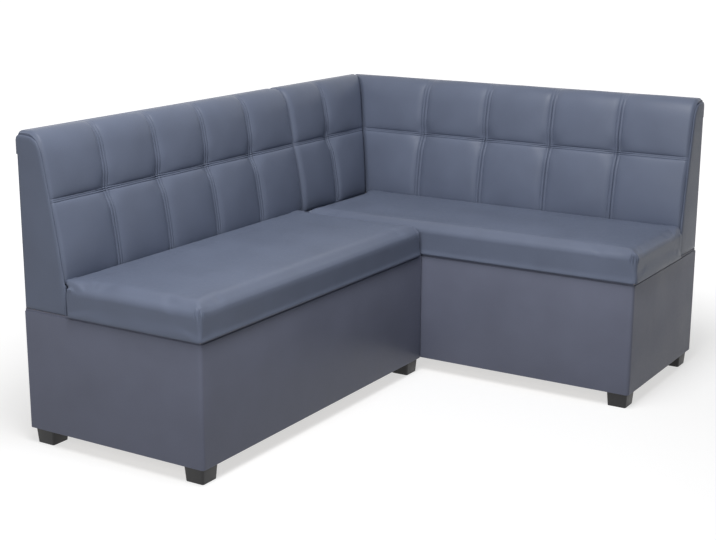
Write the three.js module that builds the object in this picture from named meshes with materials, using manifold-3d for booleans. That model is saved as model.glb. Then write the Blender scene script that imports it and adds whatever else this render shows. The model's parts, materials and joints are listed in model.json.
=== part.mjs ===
// Corner storage bench: two upholstered boxes in an L, tufted backrests and two hinged seat lids.
// Millimetres, +Z up. The origin is on the floor, under the middle of the bench.
// Each wing is drawn in a frame of its own: x is the depth from its back, y runs along it.

import * as THREE from 'three';
import { mergeVertices } from 'three/addons/utils/BufferGeometryUtils.js';
import Module from 'manifold-3d';

const wasm = await Module();
wasm.setup();

// Overall sizes
const rightLength = 1320;
const rightDepth = 555;
const leftLength = 1140;
const leftDepth = 610;
const benchHeight = 870;
const boxTop = 390;
const footHeight = 45;
const seatEdgeHeight = 482;
const moduleGap = 0.6;
const fitGap = 0.3;
const overrun = 5;

// Storage boxes
const boardThickness = 16;
const coverThickness = 3;
const coverCornerRadius = 10;
const coverTopGap = 3;
const seatRailWidth = 44;
const seatRailHeight = 22;
const footWidth = 65;
const footSoleWidth = 59;
const footInset = 8;
const footCornerRadius = 5;

// Backrests
const backDepth = 154;
const backFootDepth = 149;
const cushionFootHeight = 474;
const bellyRiseShare = 0.106;
const tuftDepth = 118;
const tuftRiseShare = 0.566;
const frontRoundHeight = 55;
const frontRoundDepth = 45;
const rearRound = 21;
const rollDepth = 4;
const rollHeight = 55;
const backFoamThickness = 24;
const topFoamThickness = 20;
const frontPanelThickness = 6;
const rearPanelThickness = 4;
const topRailHeight = 40;
const hingeRailThickness = 22;
const hingeRailTop = 470;
const endCoverThickness = 6;
const endCoverRound = 2;

// Tufting of the backrests
const longBackSquares = 5;
const cornerBackSquares = 2;
const puffHeight = 11;
const channelDepth = 2;
const tuftPullDepth = 4;
const endDrawInDepth = 3;
const puffFullnessShare = 0.55;
const squareShares = [0, 0.06, 0.18, 0.34, 0.5, 0.66, 0.82, 0.94];
const lowerRowShares = [0, 0.1, 0.3, 0.55, 0.78, 0.93];
const upperRowShares = [0, 0.07, 0.22, 0.44, 0.62, 0.75, 0.87];
const wrapShares = [0, 0.2, 0.35, 0.5, 1];

// Seat lids
const lidOverhang = 9;
const lidSideGap = 8;
const lidRunClearance = 1.5;
const skirtThickness = 6;
const skirtRise = 3;
const lidBattenThickness = 18;
const seatCrownHeight = 9;
const seatFrontRound = 28;
const seatRearRound = 15;
const seatRoundBlendDepth = 90;
const seatCornerRadius = 16;
const seatDrawInDepth = 2;
const bandRound = 3;
const roundTurnShares = [0, 0.25, 0.5, 0.75, 1];
const crownShares = [0.12, 0.32, 0.62, 0.96];

// Hinges: butt hinges that stand closed in the slot behind each lid
const hingeHeight = 472;
const hingeSlotWidth = 12;
const hingeLength = 76;
const leafDrop = 44;
const leafThickness = 2;
const leafHoleRadius = 2.2;
const knuckleCount = 5;
const pinRadius = 2.1;
const hingePlaceShares = { first: 0.15, second: 0.85 };
const leafHoleShares = [0.16, 0.5, 0.84];
const leafHoleDropShare = 0.6;

// Screws that join the two boxes
const screwRadius = 3;
const screwHeadRadius = 7;
const screwHeadHeight = 4;
const screwLength = 34;
const screwHeightShare = 0.5;
const screwDepthShares = { rear: 0.34, front: 0.8 };

// Counts of facets
const roundSides = 16;
const holeSides = 12;
const cornerBends = 4;
const longSteps = 10;
const deepSteps = 5;

// Sizes that follow from those above
const hingeDepth = backDepth + hingeSlotWidth / 2;
const lidRear = backDepth + hingeSlotWidth;
const lidBottom = boxTop + fitGap;
const cushionRise = benchHeight - cushionFootHeight;
const bellyHeight = cushionFootHeight + cushionRise * bellyRiseShare;
const tuftHeight = cushionFootHeight + cushionRise * tuftRiseShare;
const lean = (backDepth - tuftDepth) / (tuftHeight - bellyHeight);
const hingeRailBack = backDepth - hingeRailThickness;
const baseTop = lidBottom + boardThickness;
const ribTop = benchHeight - topFoamThickness - fitGap;
const ribBack = rollDepth + rearPanelThickness + fitGap;
const knuckleRadius = hingeSlotWidth / 2 - fitGap;
const rightLidReach = rightDepth + lidOverhang - hingeDepth;
const lidSweep = Math.hypot(rightLidReach, hingeHeight - lidBottom) - rightLidReach;
const leftStart = rightDepth + moduleGap + leftLength;
const leftLidEnd = leftLength + moduleGap - lidOverhang - lidSweep - lidRunClearance;
const benchWidth = Math.max(rightLength, leftDepth) + lidOverhang;
const benchRun = leftStart + lidOverhang;

// Finishes
function finish(color, roughness, metalness) {
  return () => new THREE.MeshStandardMaterial({ color, roughness, metalness });
}
const leatherette = finish(0x747b8c, 0.45, 0);
const chipboard = finish(0xcbb089, 0.8, 0);
const plywood = finish(0xd6b98a, 0.7, 0);
const hardboard = finish(0x6b4f38, 0.8, 0);
const blackPlastic = finish(0x17181b, 0.5, 0);
const zincSteel = finish(0xb9bdc2, 0.35, 1);

// Solids and meshes
function toSolid(geometry) {
  const bare = geometry.clone();
  bare.deleteAttribute('normal');
  bare.deleteAttribute('uv');
  const merged = mergeVertices(bare);
  return new wasm.Manifold(new wasm.Mesh({
    numProp: 3,
    vertProperties: new Float32Array(merged.attributes.position.array),
    triVerts: new Uint32Array(merged.index.array),
  }));
}

function toGeometry(solid) {
  const mesh = solid.getMesh();
  const geometry = new THREE.BufferGeometry();
  geometry.setAttribute('position', new THREE.BufferAttribute(mesh.vertProperties, 3));
  geometry.setIndex(new THREE.BufferAttribute(mesh.triVerts, 1));
  return geometry;
}

function joined(parts) {
  return toGeometry(parts.map(toSolid).reduce((whole, next) => whole.add(next)));
}

function cut(geometry, cutters) {
  if (cutters.length === 0) {
    return geometry;
  }
  const whole = toSolid(geometry);
  return toGeometry(cutters.map(toSolid).reduce((rest, next) => rest.subtract(next), whole));
}

function addPiece(group, name, geometry, material) {
  const mesh = new THREE.Mesh(geometry, material());
  mesh.name = name;
  group.add(mesh);
  return mesh;
}

function at(x, y, z) {
  return new THREE.Vector3(x, y, z);
}

// A square-edged board between its lowest and highest corners
function board(low, high) {
  const size = high.clone().sub(low);
  const middle = high.clone().add(low).divideScalar(2);
  return new THREE.BoxGeometry(size.x, size.y, size.z).translate(middle.x, middle.y, middle.z);
}

// An outline in depth and height, run along the wing from one place to another
function runAlong(outline, from, to) {
  const geometry = new THREE.ExtrudeGeometry(outline, { depth: to - from, bevelEnabled: false });
  return geometry.rotateX(Math.PI / 2).translate(0, to, 0);
}

// An outline in plan, raised from one height to another
function raise(outline, from, to) {
  const options = { depth: to - from, bevelEnabled: false, curveSegments: cornerBends };
  return new THREE.ExtrudeGeometry(outline, options).translate(0, 0, from);
}

function outlineThrough(points) {
  return new THREE.Shape(points.map(([x, y]) => new THREE.Vector2(x, y)));
}

function rodAlong(radius, from, to, sides) {
  const rod = new THREE.CylinderGeometry(radius, radius, to - from, sides);
  return rod.translate(0, (from + to) / 2, 0);
}

function rodThrough(radius, from, to, sides) {
  const rod = new THREE.CylinderGeometry(radius, radius, to - from, sides);
  return rod.rotateZ(-Math.PI / 2).translate((from + to) / 2, 0, 0);
}

// A skin through rings of points. capOf gives the faces that close an end ring, turning with it.
function loft(rings, capOf) {
  const count = rings[0].length;
  const positions = rings.flat().flatMap((point) => point.toArray());
  const faces = [];
  for (let ring = 0; ring + 1 < rings.length; ring += 1) {
    for (let side = 0; side < count; side += 1) {
      const a = ring * count + side;
      const b = ring * count + ((side + 1) % count);
      faces.push([a, b, b + count], [a, b + count, a + count]);
    }
  }
  const last = (rings.length - 1) * count;
  faces.push(...capOf(rings[0]).map((face) => [...face].reverse()));
  faces.push(...capOf(rings.at(-1)).map((face) => face.map((corner) => corner + last)));
  return facingOut(positions, faces);
}

function flatCap(flat) {
  const turn = (corners) => Math.sign(THREE.ShapeUtils.area(corners));
  const withRing = (face) => turn(face.map((corner) => flat[corner])) === turn(flat);
  const faces = THREE.ShapeUtils.triangulateShape([...flat], []);
  return faces.map((face) => (withRing(face) ? face : [...face].reverse()));
}

function facingOut(positions, faces) {
  const corner = (n) => new THREE.Vector3().fromArray(positions, n * 3);
  const volume = faces.reduce((sum, [a, b, c]) => sum + corner(a).dot(corner(b).cross(corner(c))), 0);
  const index = faces.flatMap((face) => (volume > 0 ? face : [...face].reverse()));
  const geometry = new THREE.BufferGeometry();
  geometry.setAttribute('position', new THREE.Float32BufferAttribute(positions, 3));
  geometry.setIndex(index);
  return geometry;
}

// A rounded rectangle as a ring of points, its straight sides cut into equal steps
function roundedRing({ x0, x1, y0, y1 }, z, radius, stepsDeep, stepsAlong) {
  const deep = x1 - x0 - 2 * radius;
  const along = y1 - y0 - 2 * radius;
  const corners = [
    { x: x1 - radius, y: y0 + radius, turn: -Math.PI / 2, way: at(0, along, 0), steps: stepsAlong },
    { x: x1 - radius, y: y1 - radius, turn: 0, way: at(-deep, 0, 0), steps: stepsDeep },
    { x: x0 + radius, y: y1 - radius, turn: Math.PI / 2, way: at(0, -along, 0), steps: stepsAlong },
    { x: x0 + radius, y: y0 + radius, turn: Math.PI, way: at(deep, 0, 0), steps: stepsDeep },
  ];
  return corners.flatMap(({ x, y, turn, way, steps }) => {
    const points = [];
    for (let bend = 0; bend <= cornerBends; bend += 1) {
      const angle = turn + (Math.PI / 2) * (bend / cornerBends);
      points.push(at(x + radius * Math.cos(angle), y + radius * Math.sin(angle), z));
    }
    const end = points.at(-1);
    for (let step = 1; step < steps; step += 1) {
      points.push(end.clone().addScaledVector(way, step / steps));
    }
    return points;
  });
}

function capFromAbove(ring) {
  return flatCap(ring.map(({ x, y }) => new THREE.Vector2(x, y)));
}

function capFromEnd(ring) {
  return flatCap(ring.map(({ x, z }) => new THREE.Vector2(x, z)));
}

// Storage box: front board with rounded edges, and the cover stretched round it
function frontBoardOutline(depth, length) {
  const outer = depth - coverThickness - fitGap;
  const low = coverThickness + fitGap;
  const high = length - low;
  const radius = coverCornerRadius - coverThickness - fitGap;
  const outline = new THREE.Shape();
  outline.moveTo(outer - boardThickness, low);
  outline.absarc(outer - radius, low + radius, radius, -Math.PI / 2, 0);
  outline.absarc(outer - radius, high - radius, radius, 0, Math.PI / 2);
  outline.lineTo(outer - boardThickness, high);
  return outline;
}

function coverOutline(depth, length) {
  const outer = coverCornerRadius;
  const inner = coverCornerRadius - coverThickness;
  const bend = depth - coverCornerRadius;
  const outline = new THREE.Shape();
  outline.moveTo(rollDepth, 0);
  outline.absarc(bend, outer, outer, -Math.PI / 2, 0);
  outline.absarc(bend, length - outer, outer, 0, Math.PI / 2);
  outline.lineTo(rollDepth, length);
  outline.lineTo(rollDepth, length - coverThickness);
  outline.absarc(bend, length - outer, inner, Math.PI / 2, 0, true);
  outline.absarc(bend, outer, inner, 0, -Math.PI / 2, true);
  outline.lineTo(rollDepth, coverThickness);
  return outline;
}

function foot() {
  const square = (width) => ({ x0: -width / 2, x1: width / 2, y0: -width / 2, y1: width / 2 });
  const sole = roundedRing(square(footSoleWidth), 0, footCornerRadius, 1, 1);
  const top = roundedRing(square(footWidth), footHeight - fitGap, footCornerRadius, 1, 1);
  return loft([sole, top], capFromAbove);
}

function addFeet(group, side, depth, length, ends) {
  const inset = footInset + footWidth / 2;
  const rows = { front: depth - inset, back: rollDepth + inset };
  const columns = { [ends[0]]: inset, [ends[1]]: length - inset };
  for (const [row, x] of Object.entries(rows)) {
    for (const [column, y] of Object.entries(columns)) {
      addPiece(group, `${side}_foot_${row}_${column}`, foot().translate(x, y, 0), blackPlastic);
    }
  }
}

// Where the boards of a box stand: wall is the inside of the cover, inside the inside of the end boards
const wall = coverThickness + fitGap;
const inside = wall + boardThickness + fitGap;
const behind = rollDepth + boardThickness + fitGap;

function addBox(group, side, depth, length, ends, holes) {
  const piece = (name, geometry, material) => addPiece(group, `${side}_box_${name}`, geometry, material);
  const before = depth - inside;
  const front = raise(frontBoardOutline(depth, length), footHeight, boxTop);
  piece('front_panel', cut(front, holes.front), chipboard);
  piece('back_panel', board(at(rollDepth, wall, footHeight),
    at(rollDepth + boardThickness, length - wall, boxTop)), chipboard);
  const endBoard = (start) => board(at(behind, start, footHeight),
    at(before, start + boardThickness, boxTop));
  piece(`${ends[0]}_end_panel`, endBoard(wall), chipboard);
  piece(`${ends[1]}_end_panel`, cut(endBoard(length - wall - boardThickness), holes.end), chipboard);
  piece('bottom_panel', board(at(behind, inside, footHeight),
    at(before, length - inside, footHeight + boardThickness)), chipboard);
  piece('seat_rail', board(at(hingeDepth - seatRailWidth / 2, inside, boxTop - seatRailHeight),
    at(hingeDepth + seatRailWidth / 2, length - inside, boxTop)), plywood);
  piece('cover', cut(raise(coverOutline(depth, length), footHeight, boxTop - coverTopGap), holes.cover),
    leatherette);
  addFeet(group, side, depth, length, ends);
}

// Screws through the touching walls of the two boxes, driven from inside the left box
const screwHeight = boxTop * screwHeightShare;
const screwStart = leftLength - wall - boardThickness - fitGap;
const screwEnd = screwStart + screwLength;
const holeRadius = screwRadius + fitGap;
const screwDepths = Object.values(screwDepthShares).map((share) => leftDepth * share);

function leftScrewHoles() {
  const from = leftLength - inside - overrun;
  return screwDepths.map((depth) => rodAlong(holeRadius, from, leftLength + overrun, holeSides)
    .translate(depth, 0, screwHeight));
}

function rightScrewHoles() {
  const tip = rightDepth + moduleGap - (screwEnd - leftLength) - fitGap;
  return screwDepths.map((along) => rodThrough(holeRadius, tip, rightDepth + overrun, holeSides)
    .translate(0, along, screwHeight));
}

function addScrews(group) {
  for (const [name, share] of Object.entries(screwDepthShares)) {
    const shank = rodAlong(screwRadius, screwStart - fitGap, screwEnd, holeSides);
    const head = rodAlong(screwHeadRadius, screwStart - screwHeadHeight, screwStart, roundSides);
    const screw = joined([shank, head]).translate(leftDepth * share, 0, screwHeight);
    addPiece(group, `joining_screw_${name}`, screw, zincSteel);
  }
}

// Backrest outline: how deep its leaning front stands at a height
function leanDepth(height) {
  return tuftDepth + (tuftHeight - height) * lean;
}

function panelFace(height) {
  return leanDepth(height) - backFoamThickness;
}

// Corner points of the outline's curves, from the foot of the cushion over the top to the rear
const footPoint = [backFootDepth, cushionFootHeight];
const belly = [leanDepth(bellyHeight), bellyHeight];
const tuft = [tuftDepth, tuftHeight];
const browStart = [leanDepth(benchHeight - frontRoundHeight), benchHeight - frontRoundHeight];
const brow = [leanDepth(benchHeight), benchHeight];
const browEnd = [leanDepth(benchHeight) - frontRoundDepth, benchHeight];
const napeStart = [rearRound, benchHeight];
const nape = [0, benchHeight];
const napeEnd = [0, benchHeight - rearRound];
const hem = [0, benchHeight - rollHeight];

function lowerCurve() {
  const path = new THREE.Path();
  path.moveTo(...footPoint);
  path.quadraticCurveTo(...belly, ...tuft);
  return path;
}

function upperCurve() {
  const path = new THREE.Path();
  path.moveTo(...tuft);
  path.lineTo(...browStart);
  path.quadraticCurveTo(...brow, ...browEnd);
  return path;
}

function wrapCurve() {
  const path = new THREE.Path();
  path.moveTo(...browEnd);
  path.lineTo(...napeStart);
  path.quadraticCurveTo(...nape, ...napeEnd);
  path.lineTo(...hem);
  return path;
}

// Points of the cover in one section, each with the way that the cover faces there
function coverPoints() {
  const rows = [
    { row: 'lower', curve: lowerCurve(), shares: lowerRowShares },
    { row: 'upper', curve: upperCurve(), shares: upperRowShares },
    { row: 'wrap', curve: wrapCurve(), shares: wrapShares },
  ];
  return rows.flatMap(({ row, curve, shares }) => shares.map((share) => {
    const tangent = curve.getTangentAt(share);
    return { row, share, place: curve.getPointAt(share), facing: new THREE.Vector2(tangent.y, -tangent.x) };
  }));
}

// The side that lies on the frame: up behind the roll, over the top rail and down the front panel
function framePoints() {
  const behindRoll = rollDepth - fitGap;
  const above = ribTop + fitGap;
  return [
    [behindRoll, benchHeight - rollHeight],
    [behindRoll, above],
    [panelFace(above) + fitGap, above],
    [panelFace(cushionFootHeight) + fitGap, cushionFootHeight],
  ];
}

function swell(across, up) {
  return (Math.sin(Math.PI * across) * Math.sin(Math.PI * up)) ** puffFullnessShare;
}

// How far the cover stands out of its outline: squares puff up, channels and tufts are drawn in
function coverRise({ row, share }, across, atEnd) {
  if (row === 'wrap') {
    return 0;
  }
  if (atEnd) {
    return -endDrawInDepth;
  }
  const fade = row === 'upper' ? 1 - share : 1;
  if (across === 0) {
    const pull = row === 'upper' && share === 0 ? tuftPullDepth : 0;
    return -(channelDepth + pull) * fade;
  }
  return share === 0 ? -channelDepth : puffHeight * swell(across, share);
}

// The place along the wing of an edge between squares. A mitred end lies on the corner's diagonal.
function squareEdge(edge, depth, { from, to, squares, mitre }) {
  if (mitre === 'start' && edge === 0) {
    return from + depth + fitGap;
  }
  if (mitre === 'end' && edge === squares) {
    return to - depth - fitGap;
  }
  const low = mitre === 'start' ? from + tuftDepth : from;
  const high = mitre === 'end' ? to - tuftDepth : to;
  return low + (high - low) * (edge / squares);
}

function backCushion(span) {
  const points = coverPoints();
  const inner = framePoints();
  const section = (square, across) => {
    const atEnd = across === 0 && (square === 0 || square === span.squares);
    const cell = Math.min(square, span.squares - 1);
    const share = square === span.squares ? 1 : across;
    const place = (x, z) => {
      const low = squareEdge(cell, x, span);
      const high = squareEdge(cell + 1, x, span);
      return at(x, low + (high - low) * share, z);
    };
    const outer = points.map((point) => {
      const spot = point.facing.clone().multiplyScalar(coverRise(point, across, atEnd)).add(point.place);
      return place(spot.x, spot.y);
    });
    return [...outer, ...inner.map(([x, z]) => place(x, z))];
  };
  const rings = [];
  for (let square = 0; square < span.squares; square += 1) {
    rings.push(...squareShares.map((across) => section(square, across)));
  }
  rings.push(section(span.squares, 0));
  return loft(rings, sectionCap);
}

// Closes an end of the cushion: each stretch of the cover meets one corner of the side on the frame
function sectionCap(ring) {
  const [underRoll, overRoll, overPanel, footOfPanel] = [4, 3, 2, 1].map((back) => ring.length - back);
  const tuftPoint = lowerRowShares.length;
  const browPoint = tuftPoint + upperRowShares.length;
  const napePoint = browPoint + wrapShares.length - 2;
  const stretches = [
    { first: 0, last: tuftPoint, corner: footOfPanel, before: overPanel },
    { first: tuftPoint, last: browPoint, corner: overPanel, before: overRoll },
    { first: browPoint, last: napePoint, corner: overRoll, before: underRoll },
    { first: napePoint, last: underRoll - 1, corner: underRoll },
  ];
  return stretches.flatMap(({ first, last, corner, before }) => {
    const faces = before ? [[last, before, corner]] : [];
    for (let point = first; point < last; point += 1) {
      faces.push([point, point + 1, corner]);
    }
    return faces;
  });
}

// Frame of a backrest: ribs, rails and thin panels
function ribOutline(bottom) {
  const front = hingeRailBack - fitGap;
  const panelBack = (height) => panelFace(height) - frontPanelThickness - fitGap;
  const knee = hingeRailTop + fitGap;
  return outlineThrough([
    [ribBack, bottom], [front, bottom], [front, knee], [panelBack(knee), knee],
    [panelBack(ribTop), ribTop], [ribBack, ribTop],
  ]);
}

// The front panel stands on the hinge rail. Its far end may be cut to lie on the other wing's panel.
function frontPanel(from, to, mitre) {
  const foot = hingeRailTop + fitGap;
  const end = (height) => (mitre ? to - panelFace(height) - fitGap : to);
  const section = (place) => [
    [panelFace(foot), foot], [panelFace(ribTop), ribTop],
    [panelFace(ribTop) - frontPanelThickness, ribTop], [panelFace(foot) - frontPanelThickness, foot],
  ].map(([x, z]) => at(x, place(z), z));
  return loft([section(() => from), section(end)], capFromEnd);
}

function endCover(from) {
  const outline = new THREE.Shape();
  outline.moveTo(rollDepth, lidBottom);
  outline.lineTo(backDepth, lidBottom);
  outline.lineTo(backDepth, hingeRailTop);
  outline.lineTo(...footPoint);
  outline.quadraticCurveTo(...belly, ...tuft);
  outline.lineTo(...browStart);
  outline.quadraticCurveTo(...brow, ...browEnd);
  outline.lineTo(...napeStart);
  outline.quadraticCurveTo(...nape, ...napeEnd);
  outline.lineTo(...hem);
  outline.lineTo(rollDepth, benchHeight - rollHeight);
  const geometry = new THREE.ExtrudeGeometry(outline, {
    depth: endCoverThickness - 2 * endCoverRound,
    bevelThickness: endCoverRound,
    bevelSize: endCoverRound,
    bevelOffset: -endCoverRound,
    bevelSegments: 2,
    curveSegments: 6,
  });
  return geometry.rotateX(Math.PI / 2).translate(0, from + endCoverThickness - endCoverRound, 0);
}

// frame gives where the boards start and end, ribs where each rib starts
function addBackrest(group, side, { cushion, frame, ribs, rear, lowest }) {
  const piece = (name, geometry, material) => addPiece(group, `${side}_back_${name}`, geometry, material);
  for (const [name, start] of Object.entries(ribs)) {
    piece(`${name}_rib`, runAlong(ribOutline(lowest), start, start + boardThickness), chipboard);
  }
  const railTo = cushion.mitre === 'end'
    ? cushion.to - panelFace(ribTop - topRailHeight) - fitGap
    : Object.values(ribs).at(-1) - fitGap;
  const railFrom = Object.values(ribs)[0] + boardThickness + fitGap;
  piece('top_rail', board(at(ribBack, railFrom, ribTop - topRailHeight),
    at(panelFace(ribTop) - frontPanelThickness - fitGap, railTo, ribTop)), plywood);
  piece('front_panel', frontPanel(frame.from, frame.to, cushion.mitre === 'end'), plywood);
  piece('rear_panel', board(at(rollDepth, rear.from, lidBottom),
    at(rollDepth + rearPanelThickness, rear.to, ribTop)), hardboard);
  piece('cushion', backCushion(cushion), leatherette);
}

function addBaseAndHingeRail(group, side, { from, to }) {
  const baseBoard = board(at(ribBack, from, lidBottom), at(backDepth, to, baseTop));
  addPiece(group, `${side}_back_base_board`, baseBoard, chipboard);
  const rail = board(at(hingeRailBack, from, baseTop + fitGap), at(backDepth, to, hingeRailTop));
  addPiece(group, `${side}_back_hinge_rail`, rail, plywood);
}

// Seat lid: a board with a batten along its rear edge, and a crowned cushion that wraps both
const battenTop = hingeHeight - knuckleRadius;

function lidBase({ depth, from, to }) {
  const front = depth - skirtThickness - fitGap;
  const outline = outlineThrough([
    [lidRear, lidBottom], [front, lidBottom], [front, baseTop],
    [lidRear + lidBattenThickness, baseTop], [lidRear + lidBattenThickness, battenTop], [lidRear, battenTop],
  ]);
  return runAlong(outline, from + skirtThickness + fitGap, to - skirtThickness - fitGap);
}

function lidBaseCutter({ depth, from, to }) {
  const front = depth - skirtThickness;
  const batten = lidRear + lidBattenThickness + fitGap;
  const outline = outlineThrough([
    [lidRear - overrun, lidBottom - overrun], [front, lidBottom - overrun], [front, baseTop + fitGap],
    [batten, baseTop + fitGap], [batten, battenTop + fitGap], [lidRear - overrun, battenTop + fitGap],
  ]);
  return runAlong(outline, from + skirtThickness, to - skirtThickness);
}

// The cushion's rings: up its band, round its edge, and over the crown to the middle
function seatRings({ depth, from, to }) {
  const skirt = lidBottom + skirtRise;
  const edge = seatEdgeHeight;
  const middle = { x: (lidRear + depth) / 2, y: (from + to) / 2 };
  const half = { x: (depth - lidRear) / 2, y: (to - from) / 2 };
  const roundAt = (x) => {
    const share = Math.min(Math.max((x - lidRear) / seatRoundBlendDepth, 0), 1);
    return seatRearRound + (seatFrontRound - seatRearRound) * share;
  };
  const drawnIn = (point) => {
    const pull = seatDrawInDepth * Math.sin(Math.PI * ((point.y - from) / (to - from)));
    const share = Math.max((point.x - middle.x) / half.x, 0);
    return at(point.x - pull * share, point.y, point.z);
  };
  const ring = (insetRear, inset, heightAt) => {
    const plan = { x0: lidRear + insetRear, x1: depth - inset, y0: from + inset, y1: to - inset };
    const radius = Math.max(seatCornerRadius - inset, bandRound);
    const points = roundedRing(plan, 0, radius, deepSteps, longSteps);
    return points.map((point) => drawnIn(at(point.x, point.y, heightAt(point.x))));
  };
  const rings = [ring(0, bandRound, () => skirt), ring(0, 0, () => skirt + bandRound)];
  for (const share of roundTurnShares) {
    const turn = (Math.PI / 2) * share;
    rings.push(ring(seatRearRound * (1 - Math.cos(turn)), seatFrontRound * (1 - Math.cos(turn)),
      (x) => edge - roundAt(x) * (1 - Math.sin(turn))));
  }
  for (const share of crownShares) {
    const reach = { rear: half.x - seatRearRound, front: half.x - seatFrontRound };
    const height = edge + seatCrownHeight * (1 - (1 - share) ** 2);
    const plan = {
      x0: lidRear + seatRearRound + reach.rear * share,
      x1: depth - seatFrontRound - reach.front * share,
      y0: from + seatFrontRound + reach.front * share,
      y1: to - seatFrontRound - reach.front * share,
    };
    rings.push(roundedRing(plan, height, bandRound, deepSteps, longSteps).map(drawnIn));
  }
  return rings;
}

function addLid(group, side, lid) {
  addPiece(group, `${side}_seat_base`, lidBase(lid), chipboard);
  const cushion = cut(loft(seatRings(lid), capFromAbove), [lidBaseCutter(lid)]);
  addPiece(group, `${side}_seat_cushion`, cushion, leatherette);
  for (const [name, share] of Object.entries(hingePlaceShares)) {
    const place = lid.from + (lid.to - lid.from) * share;
    addHinge(group, `${side}_hinge_${name}`, place);
  }
}

// Butt hinge: knuckles of the two leaves take turns on one pin, which is fast in the fixed leaf
function addHinge(group, name, place) {
  const fixed = addPiece(group, `${name}_fixed_leaf`, hingeLeaf(0, true), zincSteel);
  const moving = addPiece(group, `${name}_moving_leaf`, hingeLeaf(1, false), zincSteel);
  moving.rotation.z = Math.PI;
  for (const leaf of [fixed, moving]) {
    leaf.position.set(hingeDepth, place, hingeHeight);
  }
}

// A leaf hangs below its knuckles, its back at the slot's wall, in a frame on the hinge's axis
function hingeLeaf(firstKnuckle, withPin) {
  const back = -knuckleRadius;
  const face = back + leafThickness;
  const plateTop = -(knuckleRadius + fitGap);
  const half = hingeLength / 2;
  const parts = [board(at(back, -half, -leafDrop), at(face, half, plateTop))];
  const knuckleLength = hingeLength / knuckleCount;
  for (let knuckle = firstKnuckle; knuckle < knuckleCount; knuckle += 2) {
    const from = -half + knuckle * knuckleLength + fitGap / 2;
    parts.push(runAlong(knuckleOutline(back, face, plateTop, withPin), from, from + knuckleLength - fitGap));
  }
  if (withPin) {
    parts.push(rodAlong(pinRadius, -half + fitGap, half - fitGap, roundSides));
  }
  const drill = rodThrough(leafHoleRadius, back - overrun, face + overrun, holeSides);
  const holes = leafHoleShares.map((share) => drill.clone()
    .translate(0, hingeLength * share - half, -leafDrop * leafHoleDropShare));
  return cut(joined(parts), holes);
}

// The section of a knuckle: its barrel runs over the pin from the back of the leaf to the leaf's face
function knuckleOutline(back, face, plateTop, filled) {
  const outline = new THREE.Shape();
  outline.moveTo(back, plateTop - leafThickness);
  outline.absarc(0, 0, knuckleRadius, Math.PI, -Math.acos(face / knuckleRadius), true);
  outline.lineTo(face, plateTop - leafThickness);
  if (!filled) {
    outline.holes.push(new THREE.Path().absarc(0, 0, pinRadius + fitGap, 0, 2 * Math.PI));
  }
  return outline;
}

// Left wing: from its free end to the right wing's front
function leftWing() {
  const wing = new THREE.Group();
  wing.position.y = -leftStart;
  addBox(wing, 'left', leftDepth, leftLength, ['free', 'inner'], {
    front: [],
    end: leftScrewHoles(),
    cover: leftScrewHoles(),
  });
  addScrews(wing);
  const start = endCoverThickness + fitGap;
  addBackrest(wing, 'left', {
    cushion: { from: start, to: leftLength, squares: longBackSquares },
    frame: { from: start, to: leftLength },
    ribs: { free: start, inner: leftLength - boardThickness },
    rear: { from: start, to: leftLength },
    lowest: baseTop + fitGap,
  });
  addBaseAndHingeRail(wing, 'left', { from: start, to: leftLength });
  addPiece(wing, 'left_back_end_cover', endCover(0), leatherette);
  addLid(wing, 'left', { depth: leftDepth + lidOverhang, from: -lidOverhang, to: leftLidEnd });
  return wing;
}

// Right wing: turned a quarter, from the room's corner to its free end
function rightWing() {
  const wing = new THREE.Group();
  wing.rotation.z = -Math.PI / 2;
  addBox(wing, 'right', rightDepth, rightLength, ['corner', 'free'], {
    front: rightScrewHoles(),
    end: [],
    cover: rightScrewHoles(),
  });
  const end = rightLength - endCoverThickness - fitGap;
  addBackrest(wing, 'right', {
    cushion: { from: 0, to: end, squares: longBackSquares, mitre: 'start' },
    frame: { from: ribBack, to: end },
    ribs: { corner: ribBack, free: end - boardThickness },
    rear: { from: rollDepth, to: end },
    lowest: baseTop + fitGap,
  });
  addBaseAndHingeRail(wing, 'right', { from: ribBack, to: end });
  addPiece(wing, 'right_back_end_cover', endCover(end + fitGap), leatherette);
  addLid(wing, 'right', {
    depth: rightDepth + lidOverhang,
    from: backDepth + lidSideGap,
    to: rightLength + lidOverhang,
  });
  return wing;
}

// Side backrest of the corner: it stands on the right box, from that box's front to the long backrest
function cornerBack() {
  const wing = new THREE.Group();
  wing.position.y = -rightDepth;
  addBackrest(wing, 'corner', {
    cushion: { from: 0, to: rightDepth, squares: cornerBackSquares, mitre: 'end' },
    frame: { from: 0, to: rightDepth },
    ribs: { outer: 0 },
    rear: { from: 0, to: rightDepth - ribBack },
    lowest: lidBottom,
  });
  const railEnd = rightDepth - backDepth - fitGap;
  const rail = board(at(hingeRailBack, 0, lidBottom), at(backDepth, railEnd, hingeRailTop));
  addPiece(wing, 'corner_back_lower_rail', rail, plywood);
  return wing;
}

const bench = new THREE.Group();
bench.position.set(-benchWidth / 2, benchRun / 2, 0);
bench.add(leftWing(), rightWing(), cornerBack());

export default bench;
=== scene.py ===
# %% [markdown]
# # Corner storage bench
# The bench is two storage boxes in an L, covered in grey-blue leatherette, with tufted backrests and two
# padded lids that swing up on hinges. The CAD model fixes the places and sizes, and its boards and hinges
# only need finishes. This lesson gives them those, and builds the soft and visible pieces round them.

import json
import math

import bmesh
import bpy
import numpy as np
from mathutils import Matrix, Vector, noise


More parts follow.
